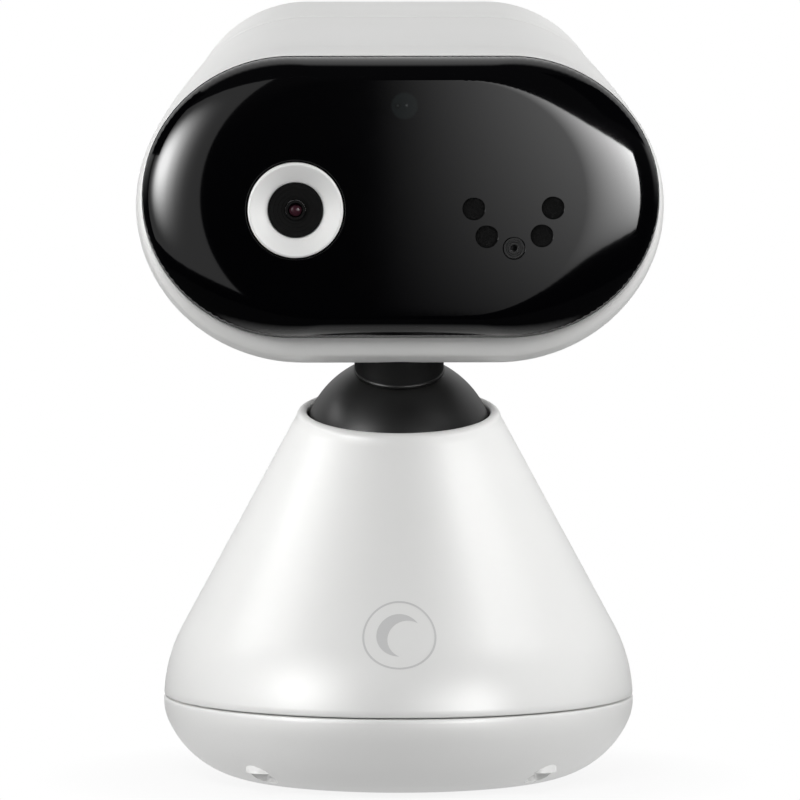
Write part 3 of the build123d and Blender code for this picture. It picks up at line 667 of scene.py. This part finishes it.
# ================================================================ ball joint
def ball_cover():
    """The ball with its stem, hollow inside."""
    start = asin(BALL_CUT / BALL_R)
    end = acos(STEM_R / BALL_R)
    inner_r = BALL_R - BALL_WALL
    profile = arc((0, 0), BALL_R, start, end, 56)
    profile += line(profile[-1], (STEM_R, STEM_TOP), 12)
    profile += [(NECK_BORE, STEM_TOP)]
    profile += arc((0, 0), inner_r, acos(NECK_BORE / inner_r), asin(BALL_CUT / inner_r), 24)
    turned_piece("ball_cover", profile, 160, LEANING, "black_satin", ["ball_dome"])


def neck_collar():
    """The sleeve round the stem, ending in a small bead just above the ball."""
    bottom = sqrt(BALL_R ** 2 - NECK_R ** 2) + 0.12 * MM
    bead = 0.42 * MM
    middle = (NECK_R - bead + 0.15 * MM, bottom + bead)
    profile = [(STEM_R, sqrt(BALL_R ** 2 - STEM_R ** 2) + 0.2 * MM)]
    profile += arc(middle, bead, -pi * 0.6, pi * 0.28, 12)
    profile += [(NECK_R, bottom + 1.3 * MM)]
    profile += line(profile[-1], (NECK_R, SLEEVE_TOP), 12)
    profile += [(STEM_R, SLEEVE_TOP)]
    turned_piece("neck_collar", profile, 128, LEANING, "black_satin", ["neck_sleeve"])


# ================================================================ head housing
def section_at(y):
    """Width, height and middle height of the housing at a depth, by smooth steps."""
    rows = [tuple(value * MM for value in row) for row in HEAD_SECTIONS]
    slopes = [section_slopes(rows, k) for k in range(len(rows))]
    for k in range(len(rows) - 1):
        if y <= rows[k + 1][0] or k == len(rows) - 2:
            break
    span = rows[k + 1][0] - rows[k][0]
    t = min(max((y - rows[k][0]) / span, 0), 1)
    values = []
    for n in (1, 2, 3):
        p0, p1 = rows[k][n], rows[k + 1][n]
        m0, m1 = slopes[k][n - 1] * span, slopes[k + 1][n - 1] * span
        values.append(
            (2 * t ** 3 - 3 * t ** 2 + 1) * p0 + (t ** 3 - 2 * t ** 2 + t) * m0
            + (3 * t ** 2 - 2 * t ** 3) * p1 + (t ** 3 - t ** 2) * m1)
    width, height, z = values
    over = max(z + height / 2 - CAD_BOX[1].z, 0)
    return width, height - 2 * over, z


def section_slopes(rows, k):
    """Slope of each value at a section; zero at a turning point."""
    slopes = []
    for n in (1, 2, 3):
        before = rows[max(k - 1, 0)]
        after = rows[min(k + 1, len(rows) - 1)]
        here = rows[k]
        steps = []
        if k > 0:
            steps.append((here[n] - before[n]) / (here[0] - before[0]))
        if k < len(rows) - 1:
            steps.append((after[n] - here[n]) / (after[0] - here[0]))
        turning = len(steps) == 2 and steps[0] * steps[1] <= 0
        slopes.append(0.0 if turning else (after[n] - before[n]) / (after[0] - before[0]))
    return slopes


def oval_ring(width, height, y, z):
    """Flat top and bottom with half an ellipse at each end, in a plane of constant y."""
    rise = height / 2
    reach = OVAL_END * rise
    flat = width / 2 - reach
    points = []
    for side in (1, -1):
        for k in range(ARC_POINTS):
            angle = -pi / 2 + pi * k / (ARC_POINTS - 1)
            points.append((side * (flat + reach * cos(angle)), y, z + side * rise * sin(angle)))
        for k in range(1, FLAT_POINTS):
            x = side * flat * (1 - 2 * k / FLAT_POINTS)
            points.append((x, y, z + side * rise))
    return points


def housing_ring(y, inset=0.0):
    """The housing's outline at a depth, moved inwards by inset."""
    width, height, z = section_at(y)
    return oval_ring(width - 2 * inset, height - 2 * inset, y, z)


def blend_rings(first, second, share):
    return [
        tuple(a + (b - a) * share for a, b in zip(p, q))
        for p, q in zip(first, second)
    ]


def housing_front():
    """Front shell: ledge for the window, rounded lip, outer wall and inner wall."""
    opening = (GLASS_W - 2 * GLASS_LEDGE[0], GLASS_H - 2 * GLASS_LEDGE[1])
    rabbet = (GLASS_W + 2 * GLASS_GAP, GLASS_H + 2 * GLASS_GAP)
    wall_back = LEDGE_Y + WALL
    rings = [
        oval_ring(*opening, wall_back, GLASS_Z),
        oval_ring(*opening, LEDGE_Y, GLASS_Z),
        oval_ring(*rabbet, LEDGE_Y, GLASS_Z),
        oval_ring(*rabbet, FRONT_Y + 0.25 * MM, GLASS_Z),
    ]
    inner = oval_ring(rabbet[0] + GLASS_GAP, rabbet[1] + GLASS_GAP, FRONT_Y, GLASS_Z)
    for turn in spread(0, pi / 2, 12):
        y = FRONT_Y + LIP_DEPTH * (1 - cos(turn))
        outer = housing_ring(y)
        inner_here = [(x, y, z) for x, _, z in inner]
        rings.append(blend_rings(inner_here, outer, sin(turn)))
    edge_y = PARTING_Y - PARTING_GAP
    rings += [housing_ring(y) for y in spread(FRONT_Y + LIP_DEPTH, edge_y - EDGE, 30)[1:]]
    rings.append(housing_ring(edge_y - EDGE * 0.3, EDGE * 0.3))
    rings.append(housing_ring(edge_y, EDGE))
    rings += [housing_ring(y, WALL) for y in spread(edge_y, wall_back, 12)]
    housing = add_piece(
        "housing_front", *skin(rings, wrap=True), "white_shell", "head", ["head_shell"])
    passage = closed_rod(rod_profile(NECK_R + 0.15 * MM, 12 * MM, STEM_TOP), LEANING, 96)
    carve(housing, cutter([passage]))


def cap_rings(y, inset):
    """Rings that close the flat end of the housing down to its middle line."""
    width, height, z = section_at(CAP_Y)
    rings = []
    for share in (1.0, 0.8, 0.5, 0.0):
        tall = (height - 2 * inset) * share
        lost = OVAL_END * (height - 2 * inset - tall)
        rings.append(oval_ring(width - 2 * inset - lost, tall, y, z))
    return rings


def housing_rear():
    """The rear cover with speaker holes, screw holes and the hole for the pairing button."""
    rings = list(reversed(cap_rings(CAP_Y - WALL, WALL)))
    rings += [housing_ring(y, WALL) for y in spread(CAP_Y - 1.5 * MM, PARTING_Y, 10)]
    rings.append(housing_ring(PARTING_Y, EDGE))
    rings.append(housing_ring(PARTING_Y + EDGE * 0.3, EDGE * 0.3))
    depths = spread(PARTING_Y + EDGE, 22 * MM, 14) + spread(22 * MM, CAP_Y - 0.05 * MM, 12)[1:]
    rings += [housing_ring(y) for y in depths]
    rings += cap_rings(CAP_Y, 0.3 * MM)
    cover = add_piece("housing_rear", *skin(rings), "white_shell", "head", ["rear_cover"])
    behind, inside = -40 * MM, -20 * MM
    speaker_hole = rod_profile(SPEAKER_HOLE_R, behind, inside)
    screw_hole = rod_profile(HEAD_SCREW_R, behind, -HEAD_SCREW_SEAT_Y)
    button_hole = rod_profile(PAIR_R + 0.3 * MM, behind, inside)
    holes = [closed_rod(speaker_hole, facing_front(x, z), 20) for x, z in grille_places()]
    for x, z in HEAD_SCREWS:
        holes.append(closed_rod(screw_hole, facing_front(x * MM, z * MM), 32))
    holes.append(closed_rod(button_hole, facing_front(PAIR_X, PAIR_Z)))
    carve(cover, cutter(holes))


def grille_places():
    """One speaker hole in the middle and two rings of them."""
    places = [(0.0, SPEAKER_Z)]
    for ring, count in ((3.2 * MM, 6), (6.4 * MM, 12)):
        for step in range(count):
            angle = 2 * pi * step / count
            places.append((ring * cos(angle), SPEAKER_Z + ring * sin(angle)))
    return places


# ================================================================ front window
def window_level(angle):
    """Width, height and depth of the window's outline where it has rolled by angle."""
    rolled = 1 - cos(angle)
    width = GLASS_W - 2 * GLASS_ROLL_X * rolled
    height = GLASS_H - 2 * GLASS_ROLL_Z * rolled
    return width, height, GLASS_EDGE_Y - GLASS_DEPTH * sin(angle)


def window_angle(x, z):
    """How far the surface has rolled at a place, from 0 at the edge to a quarter turn."""
    low, high = 0.0, pi / 2
    for _ in range(30):
        angle = (low + high) / 2
        width, height, _ = window_level(angle)
        reach = OVAL_END * height / 2
        beyond = max(abs(x) - width / 2 + reach, 0)
        if hypot(beyond / reach, z / (height / 2)) > 1:
            high = angle
        else:
            low = angle
    return (low + high) / 2


def window_depth(x, z):
    """Front of the window at (x, height from its middle): a rolled edge and a slight crown."""
    angle = window_angle(x, z)
    bow = CROWN_X * (x / (GLASS_W / 2)) ** 2 + CROWN_Z * (z / (GLASS_H / 2)) ** 2
    return window_level(angle)[2] + bow * sin(angle) ** 2


def window_normal(x, z):
    """Outward direction of the window's face, from its slopes."""
    step = 0.02 * MM
    slope_x = (window_depth(x + step, z) - window_depth(x - step, z)) / (2 * step)
    slope_z = (window_depth(x, z + step) - window_depth(x, z - step)) / (2 * step)
    return Vector((slope_x, -1, slope_z)).normalized()


def circle(x, z, radius, count):
    return [
        (x + radius * cos(2 * pi * k / count), z + radius * sin(2 * pi * k / count))
        for k in range(count)
    ]


def window_openings():
    """Each round opening in the window: x, height from its middle, radius, points."""
    openings = [(LENS_X, LENS_Z - GLASS_Z, GROOVE_R, 96)]
    for x, z in EMITTER_PLACES + [MIC_PLACE]:
        openings.append((x * MM, z * MM, POCKET_R, 40))
    return openings


def window_loops():
    """The face's points, its loops' edges, the outline's length and where each hole starts."""
    points, edges = [], []

    def add_loop(loop):
        start = len(points)
        points.extend(loop)
        edges.extend((start + k, start + (k + 1) % len(loop)) for k in range(len(loop)))
        return start

    outline = 2 * (ARC_POINTS + FLAT_POINTS - 1)
    for turn in (0, 8, 14, 20, 26, 33, 40, 48, 56, 64, 72, 80, 90):
        width, height, _ = window_level(radians(turn))
        loop = [(x, z) for x, _, z in oval_ring(width, height, 0, 0)]
        if turn:
            points.extend(spot for spot in loop if clear_of_openings(spot, 0.3 * MM))
        else:
            add_loop(loop)
    holes = []
    for x, z, radius, count in window_openings():
        holes.append(add_loop(circle(x, z, radius + HOLE_BEVEL, count)))
        points.extend(circle(x, z, radius + HOLE_BEVEL + 0.15 * MM, count))
        points.extend(circle(x, z, radius + HOLE_BEVEL + 0.6 * MM, count))
    add_inner_grid(points)
    return points, edges, outline, holes


def add_inner_grid(points):
    """Staggered rows of points over the flat middle of the window."""
    spacing = 1.25 * MM
    for row in range(-16, 17):
        for column in range(-26, 27):
            spot = (column * spacing + (row % 2) * spacing / 2, row * spacing)
            if window_angle(*spot) > pi / 2 - 0.02 and clear_of_openings(spot, MM):
                points.append(spot)


def front_window():
    """A thin shell with real holes: outline rings, a grid of inner points and hole edges."""
    points, edges, outline, holes = window_loops()
    flat_points = [Vector(spot) for spot in points]
    made, _, triangles, sources, _, _ = delaunay_2d_cdt(flat_points, edges, [], 1, 1e-7)
    where = {old: new for new, group in enumerate(sources) for old in group}
    faces = [tuple(t) for t in triangles if not in_opening(t, made)]
    vertices = [(spot.x, window_depth(spot.x, spot.y), GLASS_Z + spot.y) for spot in made]
    normals = [window_normal(spot.x, spot.y) for spot in made]
    behind = len(vertices)
    vertices += [tuple(Vector(v) - n * GLASS_WALL) for v, n in zip(vertices, normals)]
    faces += [tuple(behind + index for index in reversed(face)) for face in faces]

    edge = [where[k] for k in range(outline)]
    back_edge = [behind + index for index in edge]
    wall = []
    for ring in (edge, back_edge):
        wall.append(range(len(vertices), len(vertices) + outline))
        vertices += [(vertices[index][0], GLASS_BACK_Y, vertices[index][2]) for index in ring]
    add_band(faces, edge, wall[0])
    add_band(faces, wall[0], wall[1])
    add_band(faces, wall[1], back_edge)
    for start, (x, z, radius, count) in zip(holes, window_openings()):
        loop = [where[start + k] for k in range(count)]
        bevelled = range(len(vertices), len(vertices) + count)
        for index, (spot_x, spot_z) in zip(loop, circle(x, z, radius, count)):
            vertices.append((spot_x, vertices[index][1] + HOLE_BEVEL * 0.8, GLASS_Z + spot_z))
        add_band(faces, loop, bevelled)
        add_band(faces, bevelled, [behind + index for index in loop])
    window_piece(vertices, faces, normals)


def add_band(faces, first, second):
    """Quads between two closed rings of the same length."""
    for k in range(len(first)):
        j = (k + 1) % len(first)
        faces.append((first[k], first[j], second[j], second[k]))


def clear_of_openings(spot, margin):
    """Whether a place lies outside every opening by more than a margin."""
    return all(
        hypot(spot[0] - x, spot[1] - z) > radius + margin
        for x, z, radius, _ in window_openings()
    )


def in_opening(triangle, spots):
    x = sum(spots[i].x for i in triangle) / 3
    z = sum(spots[i].y for i in triangle) / 3
    return not clear_of_openings((x, z), HOLE_BEVEL)


def window_piece(vertices, faces, normals):
    """The window's mesh, shaded on its face by the exact normals of the curved surface."""
    mesh = bpy.data.meshes.new("window_front")
    mesh.from_pydata(vertices, [], faces)
    work = bmesh.new()
    work.from_mesh(mesh)
    bmesh.ops.recalc_face_normals(work, faces=work.faces)
    work.to_mesh(mesh)
    work.free()
    finish_mesh(mesh, radians(20))
    known = len(normals)
    loops = []
    for polygon in mesh.polygons:
        on_front = all(index < known for index in polygon.vertices)
        for index in polygon.vertices:
            loops.append(normals[index] if on_front else polygon.normal)
    mesh.normals_split_custom_set(loops)
    window = add_object("window_front", mesh)
    mesh.materials.append(MATERIALS["black_window"])
    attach(window, "head")
    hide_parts("front_glass")


# ================================================================ lens and sensors
def lens_bezel():
    """Dished white ring with a rounded outer rim, and the flange behind the window."""
    front = -(GLASS_FRONT_Y - 0.65 * MM)
    back = -(GLASS_FRONT_Y + GLASS_WALL)
    rim = 0.35 * MM
    dish = 1.0 * MM
    profile = [(RING_HOLE_R, back - 1.2 * MM), (RING_R + 2 * MM, back - 1.2 * MM)]
    profile += [(RING_R + 2 * MM, back), (RING_R, back)]
    profile += arc((RING_R - rim, front - rim), rim, 0, pi * 0.62, 12)
    profile += line(profile[-1], (RING_HOLE_R + 0.25 * MM, front - dish), 10)
    profile += [(RING_HOLE_R + 0.08 * MM, front - dish - 0.06 * MM)]
    profile += [(RING_HOLE_R, front - dish - 0.25 * MM)]
    turned_piece("lens_bezel", profile, 128, LENS_PLACE, "ring_white", ["lens_ring"])


def lens_hood():
    """Black funnel inside the ring, stepped down to the small lens."""
    front = -(GLASS_FRONT_Y + 0.15 * MM)
    profile = [(RING_HOLE_R - 0.02 * MM, front - 1.4 * MM), (RING_HOLE_R - 0.02 * MM, front)]
    for step in range(4):
        r = RING_HOLE_R - 0.25 * MM - step * 0.65 * MM
        z = front - 0.10 * MM * step
        profile += [(r, z), (r - 0.08 * MM, z - 0.08 * MM)]
    profile += [(PUPIL_R + 0.15 * MM, front - 0.40 * MM), (PUPIL_R + 0.02 * MM, front - 0.5 * MM)]
    profile += [(PUPIL_R + 0.02 * MM, front - 1.4 * MM)]
    floor = front - 0.7 * MM
    inner, outer = RING_R + 0.02 * MM, GROOVE_R - 0.02 * MM
    groove = [(inner, floor - 0.5 * MM), (outer, floor - 0.5 * MM), (outer, floor), (inner, floor)]
    parts = [skin(placed(turned_rings(p, 96), LENS_PLACE), wrap=True) for p in (profile, groove)]
    add_piece("lens_hood", *merged(parts), "lens_black", "head", ["lens_shroud"])


def lens_rim():
    """Thin ring round the small lens, in a light grey that stands in for the shine on its metal
    edge: a painted highlight.
    """
    height = -(GLASS_FRONT_Y + 0.50 * MM)
    profile = arc((PUPIL_R - 0.07 * MM, height), 0.08 * MM, 0, 2 * pi, 12)[:-1]
    turned_piece("lens_rim", profile, 64, LENS_PLACE, "lens_rim", slot="steel")


def lens_dome():
    """Front element: a small dark dome, its reddish tint a painted reflection that stands in for
    the coloured reflections of its coating.
    """
    radius = PUPIL_R - 0.6 * MM
    edge = -(GLASS_FRONT_Y + 1.0 * MM)
    sphere_r = 1.9 * MM
    half = asin(radius / sphere_r)
    profile = [(0, edge - 0.5 * MM), (radius, edge - 0.5 * MM)]
    profile += arc((0, edge - sphere_r * cos(half)), sphere_r, pi / 2 - half, pi / 2, 14)
    profile[-1] = (0, profile[-1][1])
    turned_piece(
        "lens_dome", profile, 48, LENS_PLACE, "lens_coating", ["lens_front_element"],
        "clear_optic", wrap=False)


def pocket_filters():
    """Dark textured discs at the bottom of the four pockets."""
    discs = []
    for x, z in EMITTER_PLACES:
        floor = -(window_depth(x * MM, z * MM) + 0.55 * MM)
        place = facing_front(x * MM, GLASS_Z + z * MM)
        discs.append(closed_rod(rod_profile(POCKET_R, floor - 0.6 * MM, floor), place, 40))
    add_piece("pocket_filters", *merged(discs), "pocket_filter", "head", ["ir_windows"])


def mic_disc():
    """Port disc: a ring groove and a pin hole."""
    x, z = MIC_PLACE
    front = -(window_depth(x * MM, z * MM) + 0.18 * MM)
    hole = 0.48 * MM
    groove = 1.15 * MM
    profile = [(hole, front - 1.2 * MM), (POCKET_R - 0.02 * MM, front - 1.2 * MM)]
    profile += [(POCKET_R - 0.02 * MM, front - 0.1 * MM), (POCKET_R - 0.12 * MM, front)]
    profile += [(groove + 0.2 * MM, front), (groove + 0.12 * MM, front - 0.18 * MM)]
    profile += [(groove - 0.12 * MM, front - 0.18 * MM), (groove - 0.2 * MM, front)]
    profile += [(hole + 0.12 * MM, front), (hole, front - 0.12 * MM)]
    place = facing_front(x * MM, GLASS_Z + z * MM)
    turned_piece("mic_disc", profile, 48, place, "black_satin", ["mic_port"])


# ================================================================ carried-over CAD pieces
def dress_cad_pieces():
    """Gives every CAD node its material and softens the edges that show."""
    slots = {entry["node"]: entry["material_slot"] for entry in frame["record"]["subparts"]}
    slots["lens_barrel"] = "lens_black"
    for name, node in frame["nodes"].items():
        node.data.materials.clear()
        node.data.materials.append(MATERIALS[slots[name]])
    for name in ("pair_button", "power_slider", "power_socket", "foot_pads", "head_screws",
                 "base_screws"):
        soften = frame["nodes"][name].modifiers.new("soft_edges", "BEVEL")
        soften.width = 0.12 * MM
        soften.segments = 2
        soften.limit_method = "ANGLE"


# ================================================================ stage, light and camera
def add_floor():
    """A white disc that fades into the bright page around the object."""
    vertices, faces = skin(turned_rings([(0, 0), (0.05, 0), (0.10, 0), (FLOOR_R, 0)], 96))
    mesh = bpy.data.meshes.new("floor")
    mesh.from_pydata(vertices, [], faces)
    floor = add_object("floor", mesh)
    material = surface("floor_paper", grey(0.80), grey(0.84), (0.7, 0.8), patch=3, bump=0.01)
    place = add_node(material, "TexCoord").outputs["Object"]
    away = add_node(material, "VectorMath", {0: place}, operation="LENGTH").outputs["Value"]
    fade = ramp_node(material, away, (0.02, 0.06), (0.8, 1.0))
    bounce = ramp_node(material, away, (0.045, 0.075), BOUNCE)
    paper = material.node_tree.nodes["Principled BSDF"].outputs["BSDF"]
    page = add_node(material, "Emission").outputs["Emission"]
    seen = add_node(material, "MixShader", {"Fac": fade, 1: paper, 2: page})
    given = add_node(material, "Emission", {"Strength": bounce})
    show_by_ray(material, given.outputs["Emission"], seen.outputs["Shader"], "Material Output")
    mesh.materials.append(material)


def add_world():
    """A white backdrop behind the object, a dim room in front of it."""
    world = bpy.data.worlds.new("studio")
    bpy.context.scene.world = world
    world.use_nodes = True
    place = add_node(world, "TexCoord").outputs["Generated"]
    split = add_node(world, "SeparateXYZ", {"Vector": place})
    inputs = {"Factor": add_node(world, "LightPath").outputs["Is Glossy Ray"]}
    for socket, levels in (("A", ROOM_DIFFUSE), ("B", ROOM_GLOSSY)):
        inputs[socket] = ramp_node(
            world, split.outputs["Y"], (-0.1, 0.25), levels, "SMOOTHSTEP")
    which = add_node(world, "Mix", inputs).outputs["Result"]
    level = ramp_node(world, split.outputs["Z"], (-0.15, 0.4), (ROOM_BELOW, 1), "SMOOTHSTEP")
    room = world.node_tree.nodes["Background"]
    room.inputs["Color"].default_value = (1, 1, 1, 1)
    link(world, product_node(world, which, level), room.inputs["Strength"])
    page = add_node(world, "Background", {"Color": (1, 1, 1, 1), "Strength": 1.0})
    show_by_ray(world, room.outputs["Background"], page.outputs["Background"], "World Output")


def add_card(name, corners, power, shade):
    """A glowing panel seen only in reflections. Shade makes its brightness from its UV places."""
    mesh = bpy.data.meshes.new(name)
    middle = sum((Vector(c) for c in corners), Vector()) / 4
    mesh.from_pydata([Vector(c) - middle for c in corners], [], [(0, 1, 2, 3)])
    spots = mesh.uv_layers.new(name="spots")
    for corner, spot in zip(spots.data, ((0, 0), (1, 0), (1, 1), (0, 1))):
        corner.uv = spot
    card = add_object(name, mesh)
    card.location = middle
    material = new_material(name)
    nodes = material.node_tree.nodes
    nodes.remove(nodes["Principled BSDF"])
    place = add_node(material, "TexCoord").outputs["UV"]
    strength = product_node(material, shade(material, place), power)
    glow = add_node(material, "Emission", {"Strength": strength})
    link(material, glow.outputs["Emission"], nodes["Material Output"].inputs["Surface"])
    mesh.materials.append(material)
    card.visible_camera = False
    card.visible_diffuse = False
    return card


def side_glow(material, place):
    """A bright core on a dim card."""
    return soft_spot(material, place, "QUADRATIC_SPHERE", 0.03)


def soft_spot(material, place, shape="SPHERICAL", edge=0.0):
    """Brightest in the middle of the card, fading towards its edge."""
    inputs = {"Vector": place, "Location": (-1, -1, 0), "Scale": (2, 2, 0)}
    centred = add_node(material, "Mapping", inputs).outputs["Vector"]
    spot = add_node(material, "TexGradient", {"Vector": centred}, gradient_type=shape)
    return ramp_node(material, spot.outputs["Fac"], (0, 0.85), (edge, 1), "SMOOTHSTEP")


def side_ramp(material, place):
    """Dim at the card's near end, brightest at its far end."""
    split = add_node(material, "SeparateXYZ", {"Vector": place})
    inputs = {0: split.outputs["X"], 1: RAMP_POWER}
    along = add_node(material, "Math", inputs, operation="POWER").outputs["Value"]
    upwards = ramp_node(material, split.outputs["Y"], (0, 1), (0.15, 1))
    return product_node(material, along, upwards)


def upright_card(name, near, far, low, high, power, shade):
    """A card between two places on the floor plan, from one height to another."""
    corners = [(*near, low), (*far, low), (*far, high), (*near, high)]
    return add_card(name, corners, power, shade)


def add_softbox(name, place, target, width, height, power):
    """A soft lamp that is not mirrored in surfaces."""
    data = bpy.data.lights.new(name, "AREA")
    data.shape = "RECTANGLE"
    data.size = width
    data.size_y = height
    data.energy = power
    lamp = add_object(name, data)
    lamp.location = place
    direction = Vector(target) - Vector(place)
    lamp.rotation_euler = direction.to_track_quat("-Z", "Y").to_euler()
    lamp.visible_camera = False
    lamp.visible_glossy = False


def add_lights():
    """Two cards for the window, two high ones for all but the window, and three lamps."""
    upright_card("card_left", (-0.30, -1.10), (-1.15, -0.10), -0.34, 0.84, LEFT_POWER, side_glow)
    upright_card("card_right", (0.0, -1.75), (0.98, -0.90), -0.21, 0.37, RIGHT_POWER, side_ramp)
    spared = bpy.data.collections.new("spared_by_high_cards")
    spared.objects.link(bpy.data.objects["window_front"])
    spared.collection_objects[0].light_linking.link_state = "EXCLUDE"
    for name, near, far, low, high in (
            ("card_high_left", (-0.9, -0.35), (-0.9, 0.55), 0.35, 1.15),
            ("card_high_right", (0.45, -0.6), (0.95, 0.25), 0.40, 1.20)):
        card = upright_card(name, near, far, low, high, HIGH_POWER, soft_spot)
        card.light_linking.receiver_collection = spared
    middle = (0, 0, 0.07)
    add_softbox("softbox_left", (-1.0, -0.02, -0.03), middle, 0.6, 0.8, LEFT_LIGHT)
    add_softbox("softbox_right", (0.98, -0.12, 0.0), middle, 0.6, 0.8, RIGHT_LIGHT)
    add_softbox("softbox_front", (-0.25, -1.0, 0.70), middle, 0.6, 0.4, FRONT_LIGHT)


def add_camera():
    """A long lens, looking from slightly above."""
    data = bpy.data.cameras.new("camera")
    data.sensor_width = SENSOR
    place = Vector((CAMERA_SIDE, -CAMERA_DISTANCE, CAMERA_HEIGHT))
    reach = (place - AIM).length
    data.lens = SENSOR * reach / FRAME_WIDTH
    data.clip_end = 20
    camera = add_object("camera", data)
    camera.location = place
    camera.rotation_euler = (AIM - place).to_track_quat("-Z", "Y").to_euler()
    bpy.context.scene.camera = camera


# ================================================================ build everything
bpy.context.scene.view_settings.view_transform = "Standard"
MATERIALS = make_materials()
dress_cad_pieces()
base_cone()
bottom_bowl()
crescent_mark()
ball_cover()
neck_collar()
housing_front()
housing_rear()
front_window()
lens_bezel()
lens_hood()
lens_rim()
lens_dome()
pocket_filters()
mic_disc()
add_floor()
add_world()
add_lights()
add_camera()
